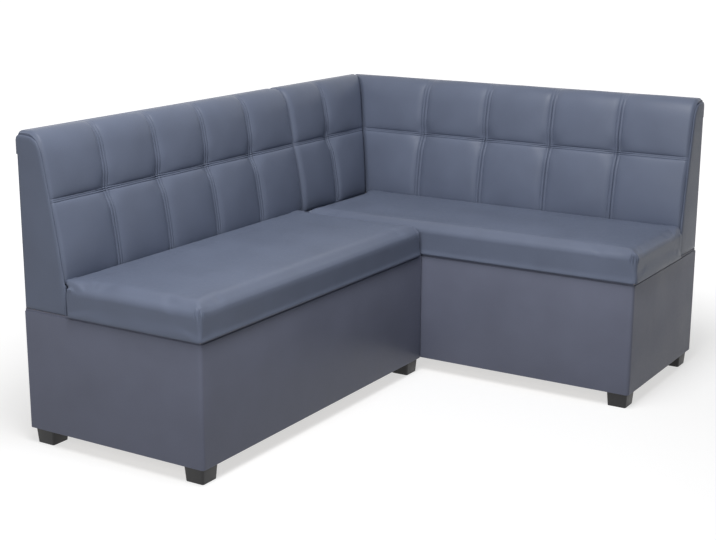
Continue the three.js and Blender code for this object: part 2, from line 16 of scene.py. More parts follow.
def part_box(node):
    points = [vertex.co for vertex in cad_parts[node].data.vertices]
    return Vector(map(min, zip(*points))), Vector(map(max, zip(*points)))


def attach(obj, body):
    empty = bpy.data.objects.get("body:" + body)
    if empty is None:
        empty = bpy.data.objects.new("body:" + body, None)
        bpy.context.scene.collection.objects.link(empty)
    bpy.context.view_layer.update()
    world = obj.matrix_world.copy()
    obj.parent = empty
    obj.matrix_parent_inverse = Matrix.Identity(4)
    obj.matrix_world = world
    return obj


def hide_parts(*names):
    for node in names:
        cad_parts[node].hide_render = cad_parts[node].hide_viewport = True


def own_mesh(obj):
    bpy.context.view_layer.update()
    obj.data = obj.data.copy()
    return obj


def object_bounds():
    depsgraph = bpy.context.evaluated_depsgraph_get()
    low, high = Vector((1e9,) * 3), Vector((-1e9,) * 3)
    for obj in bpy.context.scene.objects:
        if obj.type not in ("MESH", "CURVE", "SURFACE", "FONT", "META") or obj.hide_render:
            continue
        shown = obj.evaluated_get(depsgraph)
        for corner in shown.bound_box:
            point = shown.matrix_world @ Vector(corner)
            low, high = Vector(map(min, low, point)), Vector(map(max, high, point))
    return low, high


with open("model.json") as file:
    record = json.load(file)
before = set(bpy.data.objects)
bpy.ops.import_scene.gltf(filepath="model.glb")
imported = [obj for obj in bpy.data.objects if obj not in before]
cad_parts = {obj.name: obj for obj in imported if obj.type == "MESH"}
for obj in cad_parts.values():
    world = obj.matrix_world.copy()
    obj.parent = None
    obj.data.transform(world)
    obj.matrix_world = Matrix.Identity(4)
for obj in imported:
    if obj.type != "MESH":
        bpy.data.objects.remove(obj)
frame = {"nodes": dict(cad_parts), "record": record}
cad_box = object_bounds()
print("CAD nodes:", len(frame["nodes"]))

# %% [markdown]
# ## Camera
# The picture is taken from the front right, a little above the backrest. A pinhole camera was fitted to
# points of the bench, and gave the place, the turn and the focal length below. The axes of the camera
# follow from the way it looks, turned by its small roll.

# %% Camera
IMAGE_WIDTH = 716
FOCAL_PIXELS = 1386.0
SENSOR_WIDTH = 36.0
CAMERA_PLACE = Vector((2.03558, -3.46455, 1.42331))
AZIMUTH, ELEVATION, ROLL = (math.radians(angle) for angle in (31.793, 14.187, 0.193))

level_part = math.cos(ELEVATION)
look = Vector((-math.sin(AZIMUTH) * level_part, math.cos(AZIMUTH) * level_part, -math.sin(ELEVATION)))
level_right = look.cross(Vector((0, 0, 1))).normalized()
level_up = level_right.cross(look)
right = math.cos(ROLL) * level_right + math.sin(ROLL) * level_up
up = math.cos(ROLL) * level_up - math.sin(ROLL) * level_right


def new_object(name, data):
    made = bpy.data.objects.new(name, data)
    bpy.context.scene.collection.objects.link(made)
    return made


camera_data = bpy.data.cameras.new("camera")
camera_data.sensor_width = SENSOR_WIDTH
camera_data.lens = FOCAL_PIXELS / IMAGE_WIDTH * SENSOR_WIDTH
camera = new_object("camera", camera_data)
camera.matrix_world = Matrix.Translation(CAMERA_PLACE) @ Matrix((right, up, -look)).transposed().to_4x4()
bpy.context.scene.camera = camera
print("lens:", round(camera_data.lens, 2), "mm")

# %% [markdown]
# ## Frames of the wings
# Each wing is easiest to think of on its own: how deep a point lies in front of the back, how far along
# the wing it is, and how high. A matrix per wing turns those three numbers into the bench's frame. The
# starts of the wings are read from the boxes of CAD nodes, so the pieces follow the CAD model.

# %% Wing frames
outer_x = cad_box[0][0]
WINGS = {
    "left": Matrix.Translation((outer_x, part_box("left_box_cover")[0].y, 0)),
    "corner": Matrix.Translation((outer_x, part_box("right_box_cover")[0].y, 0)),
    "right": Matrix.Translation((outer_x, cad_box[1][1], 0)) @ Matrix.Rotation(-math.pi / 2, 4, "Z"),
    "bench": Matrix.Identity(4),
}
SIDES = ("left", "right")
LEFT_LENGTH, LEFT_DEPTH = 1.14, 0.61
RIGHT_LENGTH, RIGHT_DEPTH = 1.32, 0.555
BENCH_HEIGHT = 0.87
FIT_GAP = 0.0003
print("left wing starts at y =", round(WINGS["left"].translation.y, 4))

# %% [markdown]
# ## Helpers for nodes
# A material here is a small graph of nodes. One helper adds a node and sets its inputs, by value or by
# linking an output of another node, and a few more spell out the kinds that every finish needs.

# %% Node helpers
def set_input(tree, node, key, value):
    if isinstance(value, bpy.types.NodeSocket):
        tree.links.new(value, node.inputs[key])
    else:
        node.inputs[key].default_value = value


def add_node(tree, kind, inputs=None, **settings):
    node = tree.nodes.new(kind)
    for key, value in settings.items():
        setattr(node, key, value)
    for key, value in (inputs or {}).items():
        set_input(tree, node, key, value)
    return node


def maths(tree, operation, first, second=0.5, clamp=False):
    node = add_node(tree, "ShaderNodeMath", {0: first, 1: second}, operation=operation, use_clamp=clamp)
    return node.outputs[0]


def vector_maths(tree, operation, first, second):
    return add_node(tree, "ShaderNodeVectorMath", {0: first, 1: second}, operation=operation).outputs[0]


def mix_colours(tree, share, first, second, blend="MIX"):
    inputs = {0: share, 6: first, 7: second}
    return add_node(tree, "ShaderNodeMix", data_type="RGBA", blend_type=blend, inputs=inputs).outputs[2]


def map_range(tree, value, low, high, to_low, to_high):
    inputs = {"Value": value, "From Min": low, "From Max": high, "To Min": to_low, "To Max": to_high}
    return add_node(tree, "ShaderNodeMapRange", inputs).outputs[0]


def noise_texture(tree, place, scale, detail, **more):
    inputs = {"Vector": place, "Scale": scale, "Detail": detail, **more}
    return add_node(tree, "ShaderNodeTexNoise", inputs).outputs


def bent(tree, place, scale, detail, amount):
    """The place, shifted a little by a noise, so that the pattern on it loses its even order."""
    bend = noise_texture(tree, place, scale, detail)["Color"]
    return vector_maths(tree, "ADD", place, vector_maths(tree, "MULTIPLY", bend, (amount, amount, amount)))


def bump(tree, strength, distance, height, **more):
    inputs = {"Strength": strength, "Distance": distance, "Height": height, **more}
    return add_node(tree, "ShaderNodeBump", inputs).outputs[0]


# %% [markdown]
# ## Groups and materials
# Groups that several finishes share put out only colours, roughness and normals, so each finish keeps its
# own shader. The inputs of a group are written as their start values, and the kind of each follows from
# its value. A finish is then one call: the group, what the shader gets as constants, and the group's values.

# %% Groups and materials
INPUT_KINDS = {1: "NodeSocketFloat", 3: "NodeSocketVector", 4: "NodeSocketColor"}
OUTPUT_KINDS = {"Colour": "NodeSocketColor", "Roughness": "NodeSocketFloat", "Normal": "NodeSocketVector"}
SHADER_INPUTS = {"Colour": "Base Color", "Roughness": "Roughness", "Normal": "Normal"}


def new_group(name, outputs, **start_values):
    group = bpy.data.node_groups.new(name, "ShaderNodeTree")
    for key, value in start_values.items():
        kind = INPUT_KINDS[len(value) if isinstance(value, tuple) else 1]
        socket = group.interface.new_socket(key.replace("_", " "), in_out="INPUT", socket_type=kind)
        socket.default_value = value
    for key in outputs:
        group.interface.new_socket(key, in_out="OUTPUT", socket_type=OUTPUT_KINDS[key])
    given = group.nodes.new("NodeGroupInput").outputs
    place = add_node(group, "ShaderNodeTexCoord").outputs["Object"]
    return group, given, place


def put_out(group, **outputs):
    result = group.nodes.new("NodeGroupOutput")
    for key, value in outputs.items():
        group.links.new(value, result.inputs[key])
    return group


def new_material(name, constants):
    material = bpy.data.materials.new(name)
    material.use_nodes = True
    tree = material.node_tree
    shader = tree.nodes["Principled BSDF"]
    for key, value in constants.items():
        set_input(tree, shader, key, value)
    return material, tree, shader


def make_finish(name, group, constants, **values):
    """A material whose shader follows the group, but for the inputs that are constants."""
    material, tree, shader = new_material(name, constants)
    face = add_node(tree, "ShaderNodeGroup", node_tree=group)
    for key, value in values.items():
        set_input(tree, face, key.replace("_", " "), value)
    for output in face.outputs:
        if SHADER_INPUTS[output.name] not in constants:
            tree.links.new(output, shader.inputs[SHADER_INPUTS[output.name]])
    return material


def srgb(red, green, blue):
    """A colour as a picture editor shows it, 0 to 255, turned into the linear values that shaders use."""
    shares = [value / 255 for value in (red, green, blue)]
    linear = [s / 12.92 if s <= 0.04045 else ((s + 0.055) / 1.055) ** 2.4 for s in shares]
    return (*linear, 1.0)


# %% [markdown]
# ## Leatherette
# The cover is a coated fabric with a soft, satin face. Up close it has a fine pebble grain, about a
# millimetre across. From a step away its sheen is a little uneven, because the foam below is. Cells of a
# Voronoi texture give the pebbles, and noises vary the shade, the sheen and the foam's slow waves. The
# sewing thread uses the same group with a finer grain.

# %% Leatherette group
def leatherette_group():
    group, given, place = new_group("leatherette face", ("Colour", "Roughness", "Normal"), Roughness=0.4,
                                    Colour=(0.2, 0.2, 0.25, 1), Grain_Size=0.001, Grain_Depth=0.1)
    grain_scale = maths(group, "DIVIDE", 1.0, given["Grain Size"])
    cells = {"Vector": bent(group, place, 260.0, 1.0, 0.0014), "Scale": grain_scale}
    pebbles = add_node(group, "ShaderNodeTexVoronoi", cells, feature="SMOOTH_F1").outputs["Distance"]
    creases = noise_texture(group, place, 90.0, 3.0)["Fac"]
    broad = noise_texture(group, place, 7.0, 2.0)["Fac"]
    waves = noise_texture(group, place, 11.0, 1.0)["Fac"]
    fine_shade = map_range(group, pebbles, 0.0, 0.9, 1.04, 0.93)
    shade = maths(group, "MULTIPLY", fine_shade, map_range(group, broad, 0.3, 0.7, 0.95, 1.05))
    grey = add_node(group, "ShaderNodeCombineColor", {0: shade, 1: shade, 2: shade}).outputs[0]
    sheen = maths(group, "ADD", map_range(group, broad, 0.3, 0.7, -0.04, 0.04),
                  map_range(group, creases, 0.3, 0.7, -0.03, 0.03))
    height = maths(group, "ADD", maths(group, "MULTIPLY", pebbles, -1.0),
                   maths(group, "MULTIPLY", creases, 0.6))
    foam = bump(group, 1.0, 0.0012, waves)
    return put_out(group, Colour=mix_colours(group, 1.0, given["Colour"], grey, "MULTIPLY"),
                   Roughness=maths(group, "ADD", given["Roughness"], sheen),
                   Normal=bump(group, given["Grain Depth"], 0.0006, height, Normal=foam))


leatherette_face = leatherette_group()


def leatherette_in_colour(name, colour):
    return make_finish(name, leatherette_face, {"Specular IOR Level": 0.18}, Colour=colour, Roughness=0.4,
                       Grain_Size=0.0011, Grain_Depth=0.22)


leatherette = leatherette_in_colour("leatherette", srgb(102, 110, 129))
# The boxes get a copy of the leatherette that is a little warmer and less blue than the seats'. Part of that
# warmth is painted reflection of the warm light that the boxes catch from the floor and from the side.
box_leatherette_with_painted_reflection = leatherette_in_colour("box leatherette with painted reflection", srgb(105, 109, 126))
thread = make_finish("sewing thread", leatherette_face, {"Specular IOR Level": 0.3, "Roughness": 0.6},
                     Colour=srgb(112, 119, 137), Grain_Size=0.0003, Grain_Depth=0.3)
print("made:", ", ".join(made.name for made in (leatherette, box_leatherette_with_painted_reflection, thread)))

# %% [markdown]
# ## Boards
# The boxes are raw chipboard: pressed flakes in several tans, with a rough face. The rails and the front
# panels of the backrests are plywood, whose grain runs in long streaks. Flakes are the coloured cells of a
# Voronoi texture that is bent a little, and the streaks are noise stretched far along the grain.

# %% Board groups
LIGHT_START, DARK_START = (0.6, 0.45, 0.3, 1), (0.3, 0.2, 0.1, 1)


def flake_group():
    group, given, place = new_group("pressed flakes", ("Colour", "Normal"), Light=LIGHT_START,
                                    Dark=DARK_START)
    cells = {"Vector": bent(group, place, 60.0, 2.0, 0.012), "Scale": 240.0}
    flakes = add_node(group, "ShaderNodeTexVoronoi", cells).outputs["Color"]
    tone = add_node(group, "ShaderNodeSeparateColor", {0: flakes}).outputs[0]
    speck = noise_texture(group, place, 900.0, 2.0)["Fac"]
    blend = maths(group, "MULTIPLY", maths(group, "POWER", tone, 1.8), speck, clamp=True)
    share = map_range(group, blend, 0.0, 0.55, 0.0, 1.0)
    return put_out(group, Colour=mix_colours(group, share, given["Light"], given["Dark"]),
                   Normal=bump(group, 0.35, 0.0008, blend))


def streak_group():
    group, given, place = new_group("wood streaks", ("Colour", "Normal"), Light=LIGHT_START,
                                    Dark=DARK_START, Stretch=(1.0, 1.0, 1.0))
    stretched = vector_maths(group, "MULTIPLY", place, given["Stretch"])
    grain = noise_texture(group, stretched, 1.0, 6.0, Roughness=0.6, Distortion=0.6)["Fac"]
    share = map_range(group, grain, 0.35, 0.65, 0.0, 1.0)
    return put_out(group, Colour=mix_colours(group, share, given["Light"], given["Dark"]),
                   Normal=bump(group, 0.2, 0.0004, grain))


wood_streaks = streak_group()
LONG, CROSS = 6.0, 160.0


def plywood(name, stretch):
    return make_finish(name, wood_streaks, {"Roughness": 0.6}, Light=srgb(222, 196, 152),
                       Dark=srgb(184, 148, 102), Stretch=stretch)


chipboard = make_finish("chipboard", flake_group(), {"Roughness": 0.75}, Light=srgb(214, 184, 140),
                        Dark=srgb(128, 92, 56))
plywood_along_y = plywood("plywood with its grain along the left wing", (CROSS, LONG, CROSS))
plywood_along_x = plywood("plywood with its grain along the right wing", (LONG, CROSS, CROSS))
print("made:", ", ".join(made.name for made in (chipboard, plywood_along_y, plywood_along_x)))

# %% [markdown]
# ## Lining, plastic and steel
# The backs of the backrests are closed with a black bonded cloth that has a pattern of small pressed dots.
# The feet are moulded plastic with a fine sparked texture, and the hinges are zinc-plated steel with
# cloudy patches. A product of two sine waves gives the dots, and noise gives the rest.

# %% Lining, plastic and steel
def dotted_cloth_group():
    group, given, place = new_group("bonded cloth", ("Colour", "Normal"), Colour=(0.02, 0.02, 0.02, 1),
                                    Pitch=0.002)
    parts = add_node(group, "ShaderNodeSeparateXYZ", {0: place}).outputs
    per_metre = maths(group, "DIVIDE", 2 * math.pi, given["Pitch"])
    level = maths(group, "ADD", parts[0], parts[1])
    waves = [maths(group, "SINE", maths(group, "MULTIPLY", axis, per_metre)) for axis in (level, parts[2])]
    dots = map_range(group, maths(group, "MULTIPLY", *waves), 0.2, 0.7, 0.0, 1.0)
    fibres = noise_texture(group, place, 700.0, 4.0)["Fac"]
    lighter = mix_colours(group, 0.35, given["Colour"], (0.2, 0.2, 0.21, 1))
    height = maths(group, "SUBTRACT", maths(group, "MULTIPLY", fibres, 0.5), dots)
    return put_out(group, Colour=mix_colours(group, fibres, given["Colour"], lighter),
                   Normal=bump(group, 0.5, 0.0003, height))


def cloudy_group():
    group, given, place = new_group("cloudy face", ("Colour", "Roughness", "Normal"), Roughness=0.4,
                                    Colour=(0.5, 0.5, 0.5, 1), Second_Colour=(0.6, 0.6, 0.6, 1),
                                    Cloud_Scale=40.0, Grain_Scale=1500.0, Grain_Depth=0.1)
    clouds = noise_texture(group, place, given["Cloud Scale"], 3.0)["Fac"]
    grain = noise_texture(group, place, given["Grain Scale"], 2.0)["Fac"]
    share = map_range(group, clouds, 0.3, 0.7, 0.0, 1.0)
    sheen = map_range(group, clouds, 0.3, 0.7, -0.06, 0.06)
    return put_out(group, Colour=mix_colours(group, share, given["Colour"], given["Second Colour"]),
                   Roughness=maths(group, "ADD", given["Roughness"], sheen),
                   Normal=bump(group, given["Grain Depth"], 0.0003, grain))


cloudy_face = cloudy_group()
back_lining = make_finish("back lining", dotted_cloth_group(), {"Roughness": 0.9, "Specular IOR Level": 0.2},
                          Colour=srgb(30, 30, 32), Pitch=0.0024)
black_plastic = make_finish("black plastic", cloudy_face, {}, Colour=srgb(20, 20, 22), Roughness=0.45,
                            Second_Colour=srgb(30, 30, 32), Cloud_Scale=60.0, Grain_Depth=0.25)
zinc_steel = make_finish("zinc steel", cloudy_face, {"Metallic": 1.0}, Colour=srgb(190, 193, 196),
                         Second_Colour=srgb(206, 203, 194), Roughness=0.34, Cloud_Scale=90.0,
                         Grain_Depth=0.08)
print("made:", ", ".join(made.name for made in (back_lining, black_plastic, zinc_steel)))

# %% [markdown]
# ## Finishes of the CAD nodes
# Boards, rails, panels and hinge leaves keep their CAD shape, which is right for them. Each gets the
# finish of its material slot. Plywood takes the grain that runs along its own wing.

# %% Finishes of the CAD nodes
slot_of = {part["node"]: part["material_slot"] for part in frame["record"]["subparts"]}
FINISHES = {"chipboard": chipboard, "back_lining": back_lining, "black_plastic": black_plastic,
            "zinc_steel": zinc_steel, "leatherette": leatherette}


def node_material(name):
    if slot_of[name] == "plywood":
        return plywood_along_x if name.startswith("right") else plywood_along_y
    return FINISHES[slot_of[name]]


for node_name, node_object in frame["nodes"].items():
    node_object.data.materials.clear()
    node_object.data.materials.append(node_material(node_name))
print("finished CAD nodes:", len(slot_of))

# %% [markdown]
# ## From a bmesh to a piece
# Every new piece goes the same way: its bmesh is shaped in the frame of its wing, moved into the bench's
# frame, given outward normals, and turned into an object that rides on a body. The object itself stays at
# the origin. Edges sharper than a given angle stay crisp, and the rest are shaded smooth.

# %% Piece helper
SHARP_ANGLE = math.radians(40)


def mesh_object(name, bm):
    mesh = bpy.data.meshes.new(name)
    bm.to_mesh(mesh)
    bm.free()
    return new_object(name, mesh)


def make_piece(name, bm, wing, body, material, nodes=(), sharp=SHARP_ANGLE):
    bm.transform(WINGS[wing])
    bmesh.ops.recalc_face_normals(bm, faces=bm.faces)
    piece = mesh_object(name, bm)
    mesh = piece.data
    mesh.materials.append(material)
    mesh.shade_smooth()
    if sharp:
        mesh.set_sharp_from_angle(angle=sharp)
    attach(piece, body)
    if nodes:
        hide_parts(*nodes)
    print(f"{name}: {len(mesh.vertices)} points, {len(mesh.polygons)} faces")
    return piece


# %% [markdown]
# ## Boxes and their edges
# Seats, sleeves, feet and staples start as a cube that is stretched between two corners. Helpers pick the
# edges that get rounded, the upright ones or those at one height, and join several parts in one bmesh.

# %% Box helpers
SAME_HEIGHT = 1e-5


def bevel_edges(bm, edges, offset, segments):
    bmesh.ops.bevel(bm, geom=edges, offset=offset, segments=segments, profile=0.5, affect="EDGES",
                    material=-1)


def box_between(low, high):
    bm = bmesh.new()
    bmesh.ops.create_cube(bm, size=1)
    bmesh.ops.scale(bm, vec=Vector(high) - Vector(low), verts=bm.verts)
    bmesh.ops.translate(bm, vec=(Vector(low) + Vector(high)) / 2, verts=bm.verts)
    return bm


def upright_edges(bm):
    return [edge for edge in bm.edges if abs((edge.verts[0].co - edge.verts[1].co).normalized().z) > 0.9]


def edges_at_height(bm, height):
    return [edge for edge in bm.edges if all(abs(vert.co.z - height) < SAME_HEIGHT for vert in edge.verts)]


def boundary_edges(bm):
    return [edge for edge in bm.edges if edge.is_boundary]


def only(kind, made):
    """The points, edges or faces among all that an operator has made."""
    return [item for item in made if isinstance(item, kind)]


def split_large_faces(bm):
    bmesh.ops.triangulate(bm, faces=[face for face in bm.faces if len(face.verts) > 4])


def join(bm, other):
    mesh = bpy.data.meshes.new("part")
    other.to_mesh(mesh)
    other.free()
    bm.from_mesh(mesh)
    bpy.data.meshes.remove(mesh)


# %% [markdown]
# ## Outline of a backrest
# Seen from its end, the cover starts at the seat, bulges at the belly, leans back to the row of tufts and
# on to the brow, rolls over the top and ends in a hem behind. Three curves through the same points as in
# the CAD source give that outline. It is sampled once, with its length so far, so that any place on it
# can be found from one number: the distance from its foot.

# %% Outline of a backrest
BACK_DEPTH = 0.154
FOOT_OF_COVER = (0.149, 0.474)
TUFT_DEPTH = 0.118
BELLY_SHARE, TUFT_SHARE = 0.106, 0.566
BROW_HEIGHT, BROW_REACH, NAPE_RADIUS, ROLL_HEIGHT = 0.055, 0.045, 0.021, 0.055
CURVE_POINTS, LINE_POINTS, TOP_POINTS, REAR_POINTS = 80, 40, 8, 12
RISE = BENCH_HEIGHT - FOOT_OF_COVER[1]
BELLY_HEIGHT = FOOT_OF_COVER[1] + BELLY_SHARE * RISE
TUFT_HEIGHT = FOOT_OF_COVER[1] + TUFT_SHARE * RISE
LEAN = (BACK_DEPTH - TUFT_DEPTH) / (TUFT_HEIGHT - BELLY_HEIGHT)


def lean_depth(height):
    return TUFT_DEPTH + (TUFT_HEIGHT - height) * LEAN


def bezier(start, control, end):
    t = np.linspace(0, 1, CURVE_POINTS)[:, None]
    return (1 - t) ** 2 * np.array(start) + 2 * t * (1 - t) * np.array(control) + t**2 * np.array(end)


tuft_point = (TUFT_DEPTH, TUFT_HEIGHT)
brow_start = (lean_depth(BENCH_HEIGHT - BROW_HEIGHT), BENCH_HEIGHT - BROW_HEIGHT)
brow_end = (lean_depth(BENCH_HEIGHT) - BROW_REACH, BENCH_HEIGHT)
nape_start, nape_end = (NAPE_RADIUS, BENCH_HEIGHT), (0, BENCH_HEIGHT - NAPE_RADIUS)
stretches = [
    bezier(FOOT_OF_COVER, (BACK_DEPTH, BELLY_HEIGHT), tuft_point),
    np.linspace(tuft_point, brow_start, LINE_POINTS),
    bezier(brow_start, (lean_depth(BENCH_HEIGHT), BENCH_HEIGHT), brow_end),
    np.linspace(brow_end, nape_start, TOP_POINTS),
    bezier(nape_start, (0, BENCH_HEIGHT), nape_end),
    np.linspace(nape_end, (0, BENCH_HEIGHT - ROLL_HEIGHT), REAR_POINTS),
]
outline = np.concatenate([stretches[0]] + [stretch[1:] for stretch in stretches[1:]])
steps = np.linalg.norm(np.diff(outline, axis=0), axis=1)
run = np.concatenate([[0], np.cumsum(steps)])
way = np.gradient(outline, run, axis=0)
way /= np.linalg.norm(way, axis=1)[:, None]
TUFT_RUN = run[len(stretches[0]) - 1]
BROW_RUN = run[sum(len(stretch) - 1 for stretch in stretches[:3])]
HEM_RUN = run[-1]
print("outline:", round(HEM_RUN * 1000), "mm, tufts at", round(TUFT_RUN * 1000), "mm")

# %% [markdown]
# ## Tufted cover
# The cover is sewn in squares. Between them run flat bands with a seam in the middle and a row of
# stitches along each edge, and where two bands cross, a thread pulls the cover deep into the foam. Such a
# relief is hard to sculpt by hand and easy to write as a height over a flat sheet: pillows and bands, less
# the seams and the pull of the tufts. Most of the numbers are heights, depths and widths in metres.

# %% Numbers of the tufted cover
PUFF_HEIGHT, PUFF_FULLNESS = 0.0125, 0.5
BAND_HALF, ROW_HALF = 0.0105, 0.0055
BAND_CROWN = 0.0018
BAND_SINK, SINK_REACH = 0.002, 0.008
BAND_FADE_START, BAND_FADE = 0.55, 0.45
SEAM_DEPTH, SEAM_WIDTH = 0.0034, 0.0016
ROW_SEAM, ROW_SEAM_NEAR_TUFTS = 0.0004, 0.0024
STITCH_DEPTH, STITCH_WIDTH = 0.0009, 0.0010
ROW_STITCH_DEPTH = 0.0017
TUFT_PULL, TUFT_REACH = 0.0135, 0.025
CREASE_DEPTH, CREASE_REACH, CREASE_START = 0.0018, 0.036, 0.012
CREASE_TURNS_AND_SIZES, CREASE_SPREAD = ((0.55, 0.7), (0.85, 1.0), (1.2, 0.6)), 0.13
ROW_WEAKEST, ROW_REACH = 0.55, 0.055
END_DRAW, END_REACH = 0.0065, 0.0055
OPEN_END_DRAW, OPEN_END_REACH = 0.013, 0.0105
UNEVEN, UNEVEN_WAVES = 0.0009, 9
TOP_LIFT, LIFT_START, LIFT_BLEND = 0.010, 0.085, 0.08
CALM_END = 0.05
FAR = 1.0

# %% [markdown]
# ## Height of the cover
# Each function gives one part of the relief from a distance. Arrays of numpy hold the distances of all
# the points at once, so a cushion of forty thousand points takes only a moment.

# %% Height of the tufted cover
def pillow(distance, reach):
    return np.sin(np.pi / 2 * np.clip(distance / reach, 0, 1)) ** PUFF_FULLNESS


def hollow(distance, width):
    return np.exp(-((distance / width) ** 2))


def band(distance, half, crown, seam_depth, stitch_depth):
    inside = np.clip(1 - ((distance - half / 2) / (half / 2)) ** 2, 0, 1)
    seam = seam_depth * hollow(distance, SEAM_WIDTH)
    return crown * inside - seam - stitch_depth * hollow(distance - half, STITCH_WIDTH)


def smooth_step(value):
    t = np.clip(value, 0, 1)
    return t * t * (3 - 2 * t)


def crease(across, up):
    """Short folds that run from each tuft into the squares beside it."""
    distance = np.hypot(across, up)
    turn = np.arctan2(up, across)
    fold = sum(hollow(turn - angle, CREASE_SPREAD) * size for angle, size in CREASE_TURNS_AND_SIZES)
    start = smooth_step((distance - BAND_HALF) / CREASE_START)
    return CREASE_DEPTH * fold * np.exp(-distance / CREASE_REACH) * start


def rise_of_cover(distance_run, low, high, near_low, near_high, open_end):
    """How far the cover stands out of its outline. low and high are the distances to the square's edges,
    near_low and near_high say whether those edges are bands or the ends of the cushion, and open_end is the
    distance to an end that rolls further in."""
    half = (low + high) / 2
    band_low, band_high = np.where(near_low, BAND_HALF, 0), np.where(near_high, BAND_HALF, 0)
    across = pillow(low - band_low, half) * pillow(high - band_high, half)
    up = distance_run - TUFT_RUN
    row_half = np.where(up < 0, TUFT_RUN, BROW_RUN - TUFT_RUN) / 2
    outer = np.where(up < 0, distance_run, BROW_RUN - distance_run)
    upward = pillow(np.abs(up) - ROW_HALF, row_half) * pillow(outer, row_half)
    to_band = np.minimum(np.where(near_low, low, FAR), np.where(near_high, high, FAR))
    to_end = np.minimum(np.where(near_low, FAR, low), np.where(near_high, FAR, high))
    fade = 1 - smooth_step((up / (BROW_RUN - TUFT_RUN) - BAND_FADE_START) / BAND_FADE)
    near = hollow(to_band, ROW_REACH)
    row = ROW_WEAKEST + (1 - ROW_WEAKEST) * near
    sink = BAND_SINK * np.maximum(hollow(np.maximum(to_band - BAND_HALF, 0), SINK_REACH) * fade,
                                  hollow(np.maximum(np.abs(up) - ROW_HALF, 0), SINK_REACH) * row)
    pull = TUFT_PULL * np.exp(-(to_band**2 + up**2) / (2 * TUFT_REACH**2))
    ends = END_DRAW * hollow(to_end, END_REACH) + OPEN_END_DRAW * hollow(open_end, OPEN_END_REACH)
    row_seam = ROW_SEAM + (ROW_SEAM_NEAR_TUFTS - ROW_SEAM) * near
    relief = band(to_band, BAND_HALF, BAND_CROWN, SEAM_DEPTH, STITCH_DEPTH) * fade
    relief += band(np.abs(up), ROW_HALF, BAND_CROWN / 2, row_seam, ROW_STITCH_DEPTH) * row
    return PUFF_HEIGHT * across * upward + relief - sink - pull - ends - crease(to_band, np.abs(up))


# %% [markdown]
# ## Squares of one cushion
# A span says where a cushion starts and ends along its wing, how many squares it has, and whether one end
# is cut at the corner's diagonal. On the diagonal, the deeper a point is, the further along it lies, so
# that the two cushions of the corner meet on one slanted plane.

# %% Squares of one cushion
END_ROOM = 0.0063
SPANS = {
    "left_back": {"wing": "left", "start": END_ROOM, "end": LEFT_LENGTH, "squares": 5, "mitre": None},
    "right_back": {"wing": "right", "start": 0.0, "end": RIGHT_LENGTH - END_ROOM, "squares": 5,
                   "mitre": "start"},
    "corner_back": {"wing": "corner", "start": 0.0, "end": RIGHT_DEPTH, "squares": 2, "mitre": "end"},
}


def square_edges(span):
    start = span["start"] + (TUFT_DEPTH if span["mitre"] == "start" else 0)
    end = span["end"] - (TUFT_DEPTH if span["mitre"] == "end" else 0)
    return np.linspace(start, end, span["squares"] + 1)


def edges_at(span, square, depth):
    """Where the two edges of a square lie at a depth."""
    edges = square_edges(span)
    low, high = edges[square], edges[square + 1]
    if span["mitre"] == "start":
        low = np.where(square == 0, span["start"] + depth + FIT_GAP, low)
    if span["mitre"] == "end":
        high = np.where(square == span["squares"] - 1, span["end"] - depth - FIT_GAP, high)
    return low, high


def square_and_share(span, along):
    edges = square_edges(span)
    square = np.clip(np.searchsorted(edges, along, side="right") - 1, 0, span["squares"] - 1)
    return square, (along - edges[square]) / (edges[square + 1] - edges[square])


# %% [markdown]
# ## Points of the cover
# A place on the flat sheet becomes a point in the wing's frame: the outline gives its depth and height, the
# square gives its place along the wing, and the relief pushes it out. A slow noise keeps the squares from
# being copies of each other.

# %% Points of the cover
def outline_at(distance_run):
    depth = np.interp(distance_run, run, outline[:, 0])
    height = np.interp(distance_run, run, outline[:, 1])
    toward = np.stack([np.interp(distance_run, run, way[:, 1]), -np.interp(distance_run, run, way[:, 0])], -1)
    return depth, height, toward


def uneven(depth, along, height):
    points = zip(depth * UNEVEN_WAVES, along * UNEVEN_WAVES, height * UNEVEN_WAVES)
    return UNEVEN * np.array([noise.noise(Vector(point)) for point in points])


def top_lift(distance_run):
    """The roll over the top stands a little above the wooden frame's outline."""
    front = smooth_step((distance_run - BROW_RUN + LIFT_START) / LIFT_BLEND)
    return TOP_LIFT * front * smooth_step((HEM_RUN - distance_run) / CALM_END)


def cover_points(span, distance_run, along):
    square, share = square_and_share(span, along)
    depth, height, toward = outline_at(distance_run)
    low, high = edges_at(span, square, depth)
    place = low + (high - low) * share
    open_end = place - span["start"] if span["wing"] == "corner" else np.full(len(place), FAR)
    near_low, near_high = square > 0, square < span["squares"] - 1
    rise = rise_of_cover(distance_run, place - low, high - place, near_low, near_high, open_end)
    rise += uneven(depth, place, height) * smooth_step((BROW_RUN - distance_run) / CALM_END)
    depth = depth + rise * toward[:, 0]
    height = height + rise * toward[:, 1] + top_lift(distance_run)
    low, high = edges_at(span, square, depth)
    return np.stack([depth, low + (high - low) * share, height], -1)


# %% [markdown]
# ## Inner face of a cushion
# The wooden frame under the foam has a leaning panel in front, a rail on top and a short face behind. The
# sheet's other face follows these three, a fraction of a millimetre away from the wood.

# %% Inner face of a cushion
PANEL_GAP = 0.024 - FIT_GAP
FRAME_TOP = 0.8503
ROLL_DEPTH = 0.004
FRAME_SIDE = np.array([
    [lean_depth(FOOT_OF_COVER[1]) - PANEL_GAP, FOOT_OF_COVER[1]],
    [lean_depth(FRAME_TOP) - PANEL_GAP, FRAME_TOP],
    [ROLL_DEPTH - FIT_GAP, FRAME_TOP],
    [ROLL_DEPTH - FIT_GAP, BENCH_HEIGHT - ROLL_HEIGHT],
])
FRAME_RUNS = [0, BROW_RUN - 0.02, HEM_RUN - 0.045, HEM_RUN]


